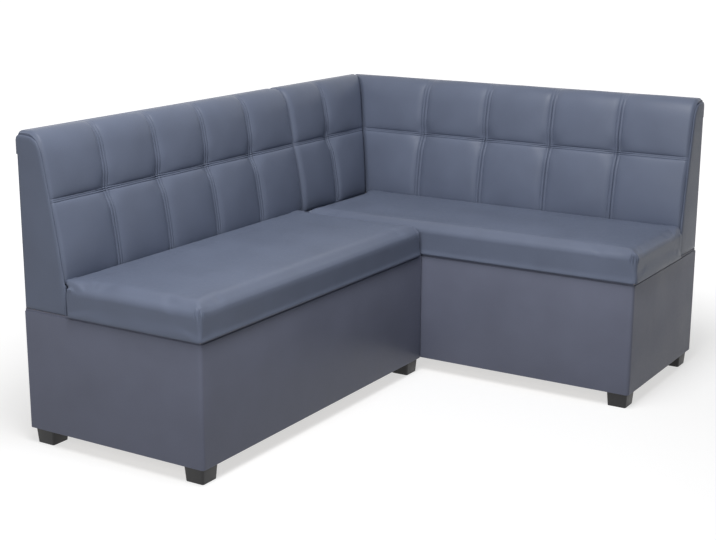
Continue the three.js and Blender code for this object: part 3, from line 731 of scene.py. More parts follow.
def frame_points(span, distance_run, along):
    square, share = square_and_share(span, along)
    depth = np.interp(distance_run, FRAME_RUNS, FRAME_SIDE[:, 0])
    height = np.interp(distance_run, FRAME_RUNS, FRAME_SIDE[:, 1])
    low, high = edges_at(span, square, depth)
    return np.stack([depth, low + (high - low) * share, height], -1)


# %% [markdown]
# ## Where the grid is fine
# A seam is a millimetre or two wide and a square is a quarter of a metre, so an even grid would need
# millions of faces. The lines of this grid lie a millimetre apart near the seams and nearly a centimetre
# apart elsewhere. A subdivision modifier can't do that, because it splits every face alike.

# %% Grid lines of a cushion
FINE_STEP, FINE_REACH, COARSE_STEP = 0.001, 0.014, 0.0085
END_STEP, END_ZONE = 0.002, 0.014


def grid_lines(start, end, centres, ends):
    fine = [centre + np.arange(-FINE_REACH, FINE_REACH + FINE_STEP / 2, FINE_STEP) for centre in centres]
    close = [np.arange(0, END_ZONE, END_STEP) * sign + place for place, sign in ends]
    stops = np.unique(np.round(np.concatenate([*fine, *close, [start, end]]), 5))
    lines = [stops[:1]]
    for low, high in zip(stops[:-1], stops[1:]):
        count = max(1, math.ceil((high - low) / COARSE_STEP))
        lines.append(np.linspace(low, high, count + 1)[1:])
    return np.concatenate(lines)


# %% [markdown]
# ## Making the cushions
# The sheet is a grid with one cell for each pair of lines. Extruding the whole sheet once gives it a
# second face and closed edges. One face takes the points of the cover and the other lies on the wooden
# frame, so each cushion is a closed skin round its foam.

# %% Back cushions
def cushion_bmesh(span):
    edges = square_edges(span)
    alongs = grid_lines(edges[0], edges[-1], edges[1:-1], [(edges[0], 1), (edges[-1], -1)])
    runs = grid_lines(0.0, HEM_RUN, [TUFT_RUN], [(0.0, 1)])
    bm = bmesh.new()
    bmesh.ops.create_grid(bm, x_segments=len(runs) - 1, y_segments=len(alongs) - 1, size=0.5)
    on_frame = set(bm.verts)
    bmesh.ops.extrude_face_region(bm, geom=bm.faces[:], use_keep_orig=True)
    bm.verts.ensure_lookup_table()
    spots = np.array([vert.co[:2] for vert in bm.verts]) + 0.5
    distance_run = runs[np.round(spots[:, 0] * (len(runs) - 1)).astype(int)]
    along = alongs[np.round(spots[:, 1] * (len(alongs) - 1)).astype(int)]
    outer = cover_points(span, distance_run, along)
    inner = frame_points(span, distance_run, along)
    for vert, cover_spot, frame_spot in zip(bm.verts, outer, inner):
        vert.co = frame_spot if vert in on_frame else cover_spot
    return bm


for span_name, one_span in SPANS.items():
    cushion = make_piece(f"{span_name}_cushion_tufted", cushion_bmesh(one_span), one_span["wing"], "bench",
                         leatherette, [f"{span_name}_cushion"])

# %% [markdown]
# ## Stitches
# Two rows of stitches hold each band down. A stitch is a short stretch of thread that dips into the cover
# at both ends, so a stretched ball with few faces is enough for it. The places come from the same height
# as the cover, which keeps every stitch on its surface.

# %% Stitches
STITCH_PITCH, STITCH_LENGTH, THREAD_RADIUS = 0.0042, 0.0033, 0.0004
FIRST_STITCH, TOP_STITCH_SHARE, ROW_END_MARGIN = 0.012, 0.75, 0.006


def stitch_rows(span):
    edges = square_edges(span)
    top = TUFT_RUN + TOP_STITCH_SHARE * (BROW_RUN - TUFT_RUN)
    for edge in edges[1:-1]:
        for side in (-BAND_HALF, BAND_HALF):
            runs = np.arange(FIRST_STITCH, top, STITCH_PITCH)
            yield runs, np.full(len(runs), edge + side), (STITCH_LENGTH, 0.0)
    for side in (-ROW_HALF, ROW_HALF):
        alongs = np.arange(edges[0] + ROW_END_MARGIN, edges[-1] - ROW_END_MARGIN, STITCH_PITCH)
        yield np.full(len(alongs), TUFT_RUN + side), alongs, (0.0, STITCH_LENGTH)


def add_stitch(bm, start, end):
    middle = (Vector(start) + Vector(end)) / 2
    direction = Vector(end) - Vector(start)
    turn = direction.to_track_quat("X", "Z").to_matrix().to_4x4()
    size = Matrix.Diagonal((STITCH_LENGTH / 2, THREAD_RADIUS, THREAD_RADIUS, 1))
    bmesh.ops.create_icosphere(bm, subdivisions=1, radius=1, matrix=Matrix.Translation(middle) @ turn @ size)


def stitching(span):
    bm = bmesh.new()
    for runs, alongs, (step_up, step_along) in stitch_rows(span):
        starts = cover_points(span, runs, alongs)
        ends = cover_points(span, runs + step_up, alongs + step_along)
        for start, end in zip(starts, ends):
            add_stitch(bm, start, end)
    return bm


for span_name, one_span in SPANS.items():
    make_piece(f"{span_name}_stitching", stitching(one_span), one_span["wing"], "bench", thread,
               sharp=None)

# %% [markdown]
# ## End covers
# Each free end of a backrest is closed with its own padded panel, cut to the backrest's outline. A circle
# whose points are moved onto the outline is its flat shape. One extrusion gives it an edge, and a few
# insets, each raised a little less than the last, make the soft roll along that edge. The heights follow a
# quarter of an ellipse, so the roll starts steep at the seam and ends flat on the panel. At the front and
# the top the seam itself is drawn in a few millimetres, which gives the dark groove beside the cushion.

# %% End covers
LID_BOTTOM = 0.3903
END_THICKNESS, END_EDGE, END_ROLL = 0.006, 0.0004, 0.015
ROLL_PLACES = (0.0004, 0.0012, 0.0026, 0.0046, 0.0072, 0.0105, END_ROLL)
END_SEAM_DRAW, END_SEAM_WIDTH = 0.004, 0.0022
END_FRONT = BACK_DEPTH + 0.0002
END_FOOT = [(ROLL_DEPTH, LID_BOTTOM), (END_FRONT, LID_BOTTOM), (END_FRONT, 0.43), (END_FRONT, 0.4705),
            (END_FRONT - 0.0014, 0.474), (END_FRONT - 0.0035, 0.479)]
CURVE_START, DRAW_BLEND_UP, DRAW_BLEND_OUT = 0.49, 0.05, 0.02


def end_outline():
    curve = [tuple(point) for point in outline[::6] if point[1] > CURVE_START or point[0] < 0.1]
    return END_FOOT + curve + [(ROLL_DEPTH, BENCH_HEIGHT - ROLL_HEIGHT)]


def roll_height(place):
    return (END_THICKNESS - END_EDGE) * math.sqrt(1 - (1 - place / END_ROLL) ** 2)


def draw_seam_in(bm, inner_face):
    for vert in bm.verts:
        out = Vector((vert.normal.x, 0, vert.normal.z)).normalized()
        drawn = smooth_step((vert.co.z - CURVE_START) / DRAW_BLEND_UP)
        drawn = drawn * smooth_step((vert.co.x - ROLL_DEPTH) / DRAW_BLEND_OUT)
        vert.co -= out * END_SEAM_DRAW * drawn * hollow(abs(vert.co.y - inner_face), END_SEAM_WIDTH)


def end_cover(name, wing, inner_face, outward):
    points = end_outline()
    bm = bmesh.new()
    bmesh.ops.create_circle(bm, cap_ends=True, segments=len(points), radius=1)
    bm.verts.ensure_lookup_table()
    for vert, (depth, height) in zip(bm.verts, points):
        vert.co = (depth, inner_face, height)
    made = bmesh.ops.extrude_face_region(bm, geom=bm.faces[:], use_keep_orig=True)["geom"]
    bmesh.ops.translate(bm, verts=only(bmesh.types.BMVert, made), vec=(0, outward * END_EDGE, 0))
    top = only(bmesh.types.BMFace, made)
    done = 0.0
    for place in ROLL_PLACES:
        bmesh.ops.inset_region(bm, faces=top, thickness=place - done, use_even_offset=True)
        step = roll_height(place) - roll_height(done)
        bmesh.ops.translate(bm, verts=list(top[0].verts), vec=(0, outward * step, 0))
        done = place
    bmesh.ops.recalc_face_normals(bm, faces=bm.faces)
    draw_seam_in(bm, inner_face)
    split_large_faces(bm)
    piece = make_piece(f"{name}_end_cover_padded", bm, wing, "bench", leatherette,
                       [f"{name}_end_cover"])


end_cover("left_back", "left", END_THICKNESS, -1)
end_cover("right_back", "right", RIGHT_LENGTH - END_THICKNESS, 1)

# %% [markdown]
# ## Aprons behind the seats
# Under each back cushion lies a rail, which carries the hinges of the seat on the long backrests. Its face
# is wrapped in leatherette too, so that no wood shows behind a seat. A thin slab in front of the rail and a
# strip on its top are enough. In the corner the strip runs on a little, under the next cushion.

# %% Aprons
APRON_GAP, APRON_THICKNESS, APRON_END = 0.00005, 0.0002, 0.0058
STRIP_WIDTH, STRIP_PAST, STRIP_LOW, STRIP_HIGH = 0.022, 0.012, 0.0001, 0.0016
RAIL_TOP = 0.470
CORNER_GAP = 0.0005


def apron(name, wing, start, end, strip_past=0.0):
    face = BACK_DEPTH + APRON_GAP
    bm = box_between((face, start, LID_BOTTOM), (face + APRON_THICKNESS, end, RAIL_TOP + STRIP_HIGH))
    join(bm, box_between((FOOT_OF_COVER[0] - STRIP_WIDTH, start, RAIL_TOP + STRIP_LOW),
                         (face, end + strip_past, RAIL_TOP + STRIP_HIGH)))
    return make_piece(f"{name}_apron", bm, wing, "bench", leatherette)


apron("left_back", "left", APRON_END, LEFT_LENGTH)
apron("right_back", "right", BACK_DEPTH + CORNER_GAP, RIGHT_LENGTH - APRON_END)
apron("corner_back", "corner", 0.0, RIGHT_DEPTH - BACK_DEPTH - CORNER_GAP, STRIP_PAST)

# %% [markdown]
# ## Seat cushions
# Each lid is a board with foam on it, wrapped in leatherette. The foam pushes the cover out until the
# cloth is tight, and a cloth simulation with pressure does just that. The start is a box with rounded
# corners, a little smaller than the finished seat. Bevel rounds the two upright front corners first, and
# then the rim of the top, except at the rear, where the seat meets the backrest with a square edge.

# %% Start of a seat cushion
LID_REAR = 0.1652
LID_OVERHANG = 0.009
LID_BOARD_TOP = 0.4063
RIGHT_SEAT_START = 0.162
SEAT_EDGE, SEAT_SHRINK, SEAT_SKIRT = 0.482, 0.0015, 0.010
SEAT_CORNER, LEFT_RIM, RIGHT_RIM = 0.008, 0.019, 0.010
SEATS = {
    "left": {"start": -LID_OVERHANG, "depth": LEFT_DEPTH + LID_OVERHANG, "rim": LEFT_RIM,
             "end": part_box("left_seat_cushion")[1].y - WINGS["left"].translation.y},
    "right": {"start": RIGHT_SEAT_START, "depth": RIGHT_DEPTH + LID_OVERHANG, "rim": RIGHT_RIM,
              "end": RIGHT_LENGTH + LID_OVERHANG},
}


def seat_corners(seat):
    low = Vector((LID_REAR, seat["start"] + SEAT_SHRINK, LID_BOTTOM - SEAT_SKIRT))
    high = Vector((seat["depth"] - SEAT_SHRINK, seat["end"] - SEAT_SHRINK, SEAT_EDGE))
    return low, high


def seat_start(seat):
    low, high = seat_corners(seat)
    rear = low.x + 0.01
    bm = box_between(low, high)
    bevel_edges(bm, [edge for edge in upright_edges(bm) if edge.verts[0].co.x > rear], SEAT_CORNER, 4)
    rim = [edge for edge in edges_at_height(bm, high.z) if max(vert.co.x for vert in edge.verts) > rear]
    bevel_edges(bm, rim, seat["rim"], 6)
    return bm


# %% [markdown]
# ## Blowing up a cushion
# The start is remeshed with small voxels, so that the cloth has even squares to bend. A vertex group pins
# the hem, which is stapled to the board on a real lid. Pressure from inside swells the rest for twenty
# frames. The swelling is then capped, because foam has a limit, and smoothed once by a subdivision.

# %% Cloth simulation
VOXEL = 0.0075
PRESSURE = 4.0
SWELL_FRAMES = 20
SWELL_CAPS = np.array([0.003, 0.003, 0.0095])
CLOTH_SETTINGS = {"quality": 4, "mass": 0.3, "tension_stiffness": 18, "compression_stiffness": 18,
                  "bending_stiffness": 1.5, "use_pressure": True, "uniform_pressure_force": PRESSURE,
                  "vertex_group_mass": "hem"}


def evaluated(piece):
    return piece.evaluated_get(bpy.context.evaluated_depsgraph_get())


def baked_mesh(piece):
    return bpy.data.meshes.new_from_object(evaluated(piece))


def points_of(mesh):
    flat = np.empty(len(mesh.vertices) * 3)
    mesh.vertices.foreach_get("co", flat)
    return flat.reshape(-1, 3)


def add_pressure(piece, pinned):
    group = piece.vertex_groups.new(name="hem")
    group.add([int(index) for index in pinned], 1.0, "REPLACE")
    cloth = piece.modifiers.new("cloth", "CLOTH").settings
    for key, value in CLOTH_SETTINGS.items():
        setattr(cloth, key, value)
    cloth.effector_weights.gravity = 0


def swell(piece, mesh, hem_height):
    start = points_of(mesh)
    add_pressure(piece, np.flatnonzero(start[:, 2] < hem_height))
    for moment in range(1, SWELL_FRAMES + 1):
        bpy.context.scene.frame_set(moment)
    move = points_of(evaluated(piece).data) - start
    bpy.context.scene.frame_set(1)
    print("swelled by", round(float(np.abs(move).max()) * 1000), "mm before the cap")
    mesh.vertices.foreach_set("co", (start + SWELL_CAPS * np.tanh(move / SWELL_CAPS)).ravel())
    mesh.update()
    piece.modifiers.clear()


def swollen(bm, hem_height):
    """The swollen shape of a closed bmesh whose points below hem_height stay where they are."""
    piece = mesh_object("cloth", bm)
    remesh = piece.modifiers.new("voxels", "REMESH")
    remesh.mode, remesh.voxel_size = "VOXEL", VOXEL
    start_mesh = baked_mesh(piece)
    piece.modifiers.clear()
    piece.data = start_mesh
    swell(piece, start_mesh, hem_height)
    smooth = piece.modifiers.new("smooth", "SUBSURF")
    smooth.levels = smooth.render_levels = 1
    swollen_mesh = baked_mesh(piece)
    bpy.data.objects.remove(piece)
    result = bmesh.new()
    result.from_mesh(swollen_mesh)
    return result


# %% [markdown]
# ## Rear lip and gathered corners
# The rear edge of a seat lies over its hinges as a rounded lip, and at both ends the cover is a little
# fuller, which closes the gap beside them. At the front corners the maker gathers the spare cover into a
# few short folds. All of these are moves of points by a formula, after the swelling, because the remesh
# would wipe them out. The lip's outline is a list of points, and each point of the seat finds its place on
# it from how far it lies round the old edge.

# %% Rear lip and corners
REAR_REACH, REAR_BLEND = 0.0055, 0.03
CHEEK_LENGTH, CHEEK_BLEND = 0.05, 0.01
LIP_WAY = (0.005, 0.012, 0.018, 0.024, 0.031, 0.038, 0.046, 0.056, 0.072)
LIP_DEPTHS = (0.1652, 0.1661, 0.1663, 0.1664, 0.1545, 0.1532, 0.1565, 0.170, 0.200)
LIP_HEIGHTS = (0.460, 0.467, 0.4735, 0.4788, 0.4792, 0.4845, 0.4880, 0.4895, 0.4905)
LIP_END, LIP_END_BLEND, LIP_TOP_BLEND = 0.005, 0.016, 0.012
FOLD_COUNT, FOLD_DEPTH, FOLD_SIZE, FOLD_BIAS = 15, 0.0022, 0.016, 0.0006
GATHER_INSET, GATHER_EDGE, GATHER_DROP = 0.022, 0.002, 0.012


def to_nearer_end(spot, low, high):
    return min(spot.y - low.y, high.y - spot.y)


def reach_back(spot, low, high):
    """How far a point beside the hinges moves towards the backrest."""
    cheek = 1 - smooth_step((to_nearer_end(spot, low, high) - CHEEK_LENGTH) / CHEEK_BLEND)
    return REAR_REACH * cheek * np.clip(1 - (spot.x - low.x) / REAR_BLEND, 0, 1)


def form_lip(spot, low, high):
    """Moves a point of the rounded rear edge onto a lip that lies over the hinges."""
    way_round = spot.x - low.x + spot.z - LIP_HEIGHTS[0] + LIP_WAY[0]
    if spot.z < LIP_HEIGHTS[0] or way_round > LIP_WAY[-1]:
        return
    share = smooth_step((to_nearer_end(spot, low, high) - LIP_END) / LIP_END_BLEND)
    share = share * smooth_step((LIP_WAY[-1] - way_round) / LIP_TOP_BLEND)
    spot.x += share * (np.interp(way_round, LIP_WAY, LIP_DEPTHS) - spot.x)
    spot.z += share * (np.interp(way_round, LIP_WAY, LIP_HEIGHTS) - spot.z)


def gather(spot, corner, side):
    """How far a point moves out or in at a gathered corner. side is 1 at the far end and -1 at the near."""
    out = Vector((spot.x - corner.x + GATHER_INSET, (spot.y - corner.y) * side + GATHER_INSET))
    if min(out) < -GATHER_EDGE:
        return 0.0
    place = math.hypot(out.length - GATHER_INSET - GATHER_EDGE, spot.z - corner.z + GATHER_DROP)
    fold = FOLD_DEPTH * math.cos(math.atan2(out.y, out.x) * FOLD_COUNT) - FOLD_BIAS
    return fold * math.exp(-((place / FOLD_SIZE) ** 2))


# %% [markdown]
# ## Room for the board
# The board of a lid fills the seat from below, with a batten along its rear edge. A point of the cover
# that lies inside one of them is pushed out through its nearest free side. The points near the front
# corners are divided first, since the folds there are finer than the voxels.

# %% Room for the board
BATTEN_DEPTH = 0.020
REAR_CLOTH, BOARD_CLOTH, BATTEN_CLOTH, BATTEN_TOP_CLOTH = 0.001, 0.0015, 0.0025, 0.003
FILLING_DROP, BATTEN_END = 0.02, 0.006
CORNER_REACH = 0.042
LIP_SMOOTH_DEPTH, LIP_SMOOTH_HEIGHT = 0.21, LIP_HEIGHTS[4] + 0.002


def keep_clear(spot, box, sides):
    """Pushes a point that lies in a box out through the nearest of the given sides."""
    if all(low < value < high for low, value, high in zip(box[0], spot, box[1])):
        gaps = [(abs(spot[axis] - box[end][axis]), axis, box[end][axis]) for axis, end in sides]
        _, axis, place = min(gaps)
        spot[axis] = place


def seat_fillings(name):
    """What the cover has to go round: the board, the two ends of its batten, and the batten."""
    inside = WINGS[name].inverted()
    one, other = (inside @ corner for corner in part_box(f"{name}_seat_base"))
    low, high = (Vector(pick(pair) for pair in zip(one, other)) for pick in (min, max))
    board = (low - Vector((REAR_CLOTH, BOARD_CLOTH, FILLING_DROP)),
             Vector((high.x + BOARD_CLOTH, high.y + BOARD_CLOTH, LID_BOARD_TOP)))
    batten = (low - Vector((REAR_CLOTH, BATTEN_CLOTH, FILLING_DROP)),
              Vector((low.x + BATTEN_DEPTH, high.y + BATTEN_CLOTH, high.z + BATTEN_TOP_CLOTH)))
    near_end = batten[0], Vector((batten[1].x, low.y + BATTEN_END, batten[1].z))
    far_end = Vector((batten[0].x, high.y - BATTEN_END, batten[0].z)), batten[1]
    around = [(0, 0), (0, 1), (1, 0), (1, 1)]
    return [(board, around), (near_end, [(1, 0)]), (far_end, [(1, 1)]), (batten, [(0, 0), (2, 1)])]


def smooth_points(bm, verts, factor):
    bmesh.ops.smooth_vert(bm, verts=verts, factor=factor, use_axis_x=True, use_axis_y=True, use_axis_z=True)


def shape_seat(bm, low, high, fillings):
    smooth_points(bm, bm.verts, 0.5)
    corners = [(high, 1), (Vector((high.x, low.y, high.z)), -1)]
    near = [edge for edge in bm.edges
            if any((edge.verts[0].co - corner).length < CORNER_REACH for corner, _ in corners)]
    bmesh.ops.subdivide_edges(bm, edges=near, cuts=2, use_grid_fill=True)
    for vert in bm.verts:
        form_lip(vert.co, low, high)
        vert.co.x -= reach_back(vert.co, low, high)
        for box, sides in fillings:
            keep_clear(vert.co, box, sides)
        for corner, side in corners:
            vert.co += vert.normal * gather(vert.co, corner, side)
    lip = [vert for vert in bm.verts if vert.co.x < LIP_SMOOTH_DEPTH and vert.co.z > LIP_SMOOTH_HEIGHT]
    smooth_points(bm, lip, 0.4)


# %% [markdown]
# ## Hem of a lid
# On a real lid the cover is pulled round the edge of the board and stapled underneath, a few centimetres
# in. So the swollen shape is cut level near its bottom. The cut edge is extruded in steps: round the edge
# of the board, inwards to the line where the cover ends, and up beside the board, which keeps its place
# in the hollow.

# %% Hem and seats
HEM_WIDTH, HEM_LEVEL = 0.030, LID_BOTTOM - 0.0002
CUT_HEIGHT, CUT_SNAP, PIN_MARGIN = 0.3935, 0.0004, 0.006
HEM_TURNS = ((0.0006, 0.3914), (0.0018, HEM_LEVEL))


def pull_edge(bm, edges, place):
    made = bmesh.ops.extrude_edge_only(bm, edges=edges)["geom"]
    for vert in set(only(bmesh.types.BMVert, made)):
        vert.co = place(vert.co)
    return [edge for edge in only(bmesh.types.BMEdge, made) if edge.is_boundary]


def add_hem(bm, low, high):
    bmesh.ops.bisect_plane(bm, geom=bm.verts[:] + bm.edges[:] + bm.faces[:], plane_co=(0, 0, CUT_HEIGHT),
                           plane_no=(0, 0, -1), clear_outer=True, dist=CUT_SNAP)
    middle = (low + high) / 2

    def drawn_in(amount, height):
        ratio = Vector((1 - amount / (middle.x - low.x), 1 - amount / (middle.y - low.y)))

        def place(spot):
            inward = Vector((middle.x - spot.x, middle.y - spot.y))
            return Vector((middle.x - inward.x * ratio.x, middle.y - inward.y * ratio.y, height))
        return place

    def to_inner_line(spot):
        return Vector((min(max(spot.x, low.x + HEM_WIDTH), high.x - HEM_WIDTH),
                       min(max(spot.y, low.y + HEM_WIDTH), high.y - HEM_WIDTH), HEM_LEVEL))

    edge = boundary_edges(bm)
    for amount, height in HEM_TURNS:
        edge = pull_edge(bm, edge, drawn_in(amount, height))
    edge = pull_edge(bm, edge, to_inner_line)
    edge = pull_edge(bm, edge, lambda spot: Vector((spot.x, spot.y, LID_BOARD_TOP + FIT_GAP)))
    bmesh.ops.holes_fill(bm, edges=edge, sides=0)
    bmesh.ops.remove_doubles(bm, verts=bm.verts, dist=1e-5)


def seat_cushion(name, seat):
    low, high = seat_corners(seat)
    bm = swollen(seat_start(seat), CUT_HEIGHT + PIN_MARGIN)
    shape_seat(bm, low, high, seat_fillings(name))
    add_hem(bm, low, high)
    split_large_faces(bm)
    piece = make_piece(f"{name}_seat_pad", bm, name, f"{name}_seat", leatherette,
                       [f"{name}_seat_cushion"])
    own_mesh(piece)


for seat_name, one_seat in SEATS.items():
    seat_cushion(seat_name, one_seat)

# %% [markdown]
# ## Box covers
# The boxes wear the same leatherette, glued on a thin layer of foam. It goes round three sides and leaves
# the wall side bare. A cube without its top, bottom and wall side is the sleeve, its two free upright edges
# are rounded by a bevel, and solidify gives it the thickness of cloth and foam. It ends a few millimetres
# below the lid, and that leaves the dark line between box and seat.

# %% Box covers
COVER_THICKNESS, COVER_CORNER, COVER_RIM = 0.003, 0.010, 0.001
SLEEVE_DROP = 0.0035
WALL_SIDES = {"left": Vector((-1, 0, 0)), "right": Vector((0, 1, 0))}


def box_cover(name):
    low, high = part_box(f"{name}_box_cover")
    wall = WALL_SIDES[name]
    wall_place = max(low.dot(wall), high.dot(wall))
    high.z -= SLEEVE_DROP
    bm = box_between(low, high)
    bm.normal_update()
    bare = [face for face in bm.faces if abs(face.normal.z) > 0.5 or face.normal.dot(wall) > 0.5]
    bmesh.ops.delete(bm, geom=bare, context="FACES")
    free = [edge for edge in upright_edges(bm) if edge.verts[0].co.dot(wall) < wall_place - COVER_CORNER]
    bevel_edges(bm, free, COVER_CORNER, 10)
    bmesh.ops.solidify(bm, geom=bm.faces[:], thickness=COVER_THICKNESS - FIT_GAP)
    rims = [edge for height in (low.z, high.z) for edge in edges_at_height(bm, height)]
    bevel_edges(bm, rims, COVER_RIM, 3)
    piece = make_piece(f"{name}_box_sleeve", bm, "bench", "bench", box_leatherette_with_painted_reflection,
                       [f"{name}_box_cover"])
    size = np.ptp(np.array([vert.co for vert in piece.data.vertices]), axis=0)
    print("sleeve in mm:", (size * 1000).round(1), "CAD:", (np.array(high - low) * 1000).round(1))


for side_name in SIDES:
    box_cover(side_name)

# %% [markdown]
# ## Folded rims
# The cover of a box is folded over the top edge of its boards and stapled inside. A slim block round the
# upper end of each board, a fraction of a millimetre larger than the board all round, is that fold. The
# cloth adds to it on the side that faces the inside of the box.

# %% Folded rims
FOLD_DROP, FOLD_LOWEST, FOLD_TOP = 0.026, 0.001, 0.39007
FOLD_CLOTH, FOLD_SKIN, FOLD_EDGE = 0.0005, 0.00012, 0.0004
RIM_BOARDS = {"left": ("front_panel", "back_panel", "free_end_panel", "inner_end_panel", "seat_rail"),
              "right": ("front_panel", "back_panel", "free_end_panel", "corner_end_panel", "seat_rail")}


def rim_board(side, board):
    """The box of a board, the axis that it is thin along, and the sign of the way into the box."""
    middle = sum(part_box(f"{side}_box_cover"), Vector((0, 0, 0))) / 2
    low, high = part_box(f"{side}_box_{board}")
    axis = 0 if high.x - low.x < high.y - low.y else 1
    return low, high, axis, 1 if (low[axis] + high[axis]) / 2 < middle[axis] else -1


def folded_rim(side):
    bm = bmesh.new()
    for board in RIM_BOARDS[side]:
        low, high, axis, inward = rim_board(side, board)
        low -= Vector((FOLD_SKIN, FOLD_SKIN, 0))
        high += Vector((FOLD_SKIN, FOLD_SKIN, 0))
        (high if inward > 0 else low)[axis] += inward * FOLD_CLOTH
        low.z = max(high.z - FOLD_DROP, low.z + FOLD_LOWEST)
        high.z = FOLD_TOP
        block = box_between(low, high)
        bevel_edges(block, edges_at_height(block, high.z), FOLD_EDGE, 2)
        join(bm, block)
    return bm


for side_name in SIDES:
    make_piece(f"{side_name}_box_folded_rim", folded_rim(side_name), "bench", "bench", box_leatherette_with_painted_reflection)

# %% [markdown]
# ## Staples
# A staple shows only its crown, a short flat wire, so each is a small bevelled cube with few faces. Helpers
# set them along a line at an even pitch, or along the four sides of a rectangle.

# %% Staples
STAPLE = Vector((0.0105, 0.0012, 0.0006))
STAPLE_PITCH, STAPLE_EDGE = 0.045, 0.0004


def unit(axis, sign):
    direction = Vector((0, 0, 0))
    direction[axis] = sign
    return direction


def add_staple(bm, place, along, outward):
    along = along.normalized()
    turn = Matrix((along, outward.cross(along), outward)).transposed().to_4x4()
    staple = box_between(-STAPLE / 2, STAPLE / 2)
    bevel_edges(staple, upright_edges(staple), STAPLE_EDGE, 1)
    staple.transform(Matrix.Translation(place) @ turn)
    join(bm, staple)


def staple_line(bm, start, end, outward):
    count = max(2, round((end - start).length / STAPLE_PITCH))
    for index in range(count):
        add_staple(bm, start.lerp(end, (index + 0.5) / count), end - start, outward)


def staple_frame(bm, low, high, axis, sign, margin):
    """Staples round a rectangle whose normal is one of the axes, on the side that the sign names."""
    first, second = [index for index in range(3) if index != axis]
    level = (high if sign > 0 else low)[axis] + sign * STAPLE.z / 2
    corners = []
    for a, b in ((low, low), (high, low), (high, high), (low, high)):
        corner = Vector((level, level, level))
        corner[first] = a[first] + (margin if a is low else -margin)
        corner[second] = b[second] + (margin if b is low else -margin)
        corners.append(corner)
    for start, end in zip(corners, corners[1:] + corners[:1]):
        staple_line(bm, start, end, unit(axis, sign))


# %% [markdown]
# ## Rows of staples
# Staples hold every hem: inside the rims, under the lids and round the black backs. One object holds all
# the staples of a body, because there are hundreds of them. The rows run a little way in from each edge.

# %% Rows of staples
BACK_MARGIN, LID_MARGIN, RIM_SHARE = 0.012, HEM_WIDTH - 0.006, 0.6
BACK_PANELS = {"left_back_rear_panel": (0, -1), "corner_back_rear_panel": (0, -1),
               "right_back_rear_panel": (1, 1)}


def lid_staples(side):
    low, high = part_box(f"{side}_seat_cushion")
    low.z = high.z = HEM_LEVEL
    bm = bmesh.new()
    staple_frame(bm, low, high, 2, -1, LID_MARGIN)
    return bm


def bench_staples():
    bm = bmesh.new()
    for name, (axis, sign) in BACK_PANELS.items():
        staple_frame(bm, *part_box(name), axis, sign, BACK_MARGIN)
    for side in SIDES:
        for board in (RIM_BOARDS[side][0], RIM_BOARDS[side][2]):
            low, high, axis, inward = rim_board(side, board)
            start, end = low.copy(), high.copy()
            start.z = end.z = high.z - FOLD_DROP * RIM_SHARE
            face = (high if inward > 0 else low)[axis]
            start[axis] = end[axis] = face + inward * (FOLD_CLOTH + STAPLE.z / 2)
            staple_line(bm, start, end, unit(axis, inward))
    return bm


for side_name in SIDES:
    make_piece(f"{side_name}_seat_staples", lid_staples(side_name), "bench", f"{side_name}_seat", zinc_steel)
make_piece("bench_staples", bench_staples(), "bench", "bench", zinc_steel)

# %% [markdown]
# ## Head of a screw
# Three screws hold each leaf of a hinge. The flat head starts as a grid of nine cells, whose lines
# are moved so that the middle cells make a cross. Extruding that cross down gives the recess for the
# driver. The outer edge of the grid is bridged to a circle, the rim of the head.

# %% Screw head
HEAD_RADIUS, HEAD_HEIGHT, HEAD_SIDE, RECESS_DEPTH = 0.0034, 0.0009, 0.55, 0.0006
SLOT_HALF, CROSS_HALF = 0.00045, 0.0017


def in_cross(face):
    middle = face.calc_center_median()
    return min(abs(middle.x), abs(middle.y)) < 1e-6


def sink(bm, made, depth):
    bmesh.ops.translate(bm, vec=(0, 0, -depth), verts=only(bmesh.types.BMVert, made))


def screw_head():
    bm = bmesh.new()
    bmesh.ops.create_grid(bm, x_segments=3, y_segments=3, size=1.5)
    for vert in bm.verts:
        for axis in (0, 1):
            far = abs(vert.co[axis]) > 1
            vert.co[axis] = math.copysign(CROSS_HALF if far else SLOT_HALF, vert.co[axis])
        vert.co.z = HEAD_HEIGHT
    cross = [face for face in bm.faces if in_cross(face)]
    moved = bmesh.ops.extrude_face_region(bm, geom=cross)["geom"]
    bmesh.ops.delete(bm, geom=cross, context="FACES_ONLY")
    sink(bm, moved, RECESS_DEPTH)
    rim = boundary_edges(bm)
    level = Matrix.Translation((0, 0, HEAD_HEIGHT * HEAD_SIDE))
    made = bmesh.ops.create_circle(bm, cap_ends=False, segments=12, radius=HEAD_RADIUS, matrix=level)
    edge_ring = list({edge for vert in made["verts"] for edge in vert.link_edges})
    bmesh.ops.bridge_loops(bm, edges=rim + edge_ring)
    sink(bm, bmesh.ops.extrude_edge_only(bm, edges=edge_ring)["geom"], HEAD_HEIGHT * HEAD_SIDE)
    bmesh.ops.holes_fill(bm, edges=boundary_edges(bm), sides=0)
    bmesh.ops.recalc_face_normals(bm, faces=bm.faces)
    return bm


# %% [markdown]
# ## Screws of the hinges
# Each leaf lies against its board, the fixed one on the rail and the moving one on the batten, and its
# screws face the other leaf. Their places are shares of the leaf's length, like the holes of the CAD leaf.

# %% Hinge screws
HINGE_HEIGHT, LEAF_DROP, LEAF_THICKNESS = 0.472, 0.044, 0.002
HOLE_SHARES, HOLE_DROP_SHARE = (0.16, 0.5, 0.84), 0.6
LEAF_FACES = {"fixed": BACK_DEPTH + FIT_GAP + LEAF_THICKNESS, "moving": LID_REAR - FIT_GAP - LEAF_THICKNESS}
LEAF_WAYS = {"fixed": 1, "moving": -1}
SCREW_SHARP = math.radians(30)


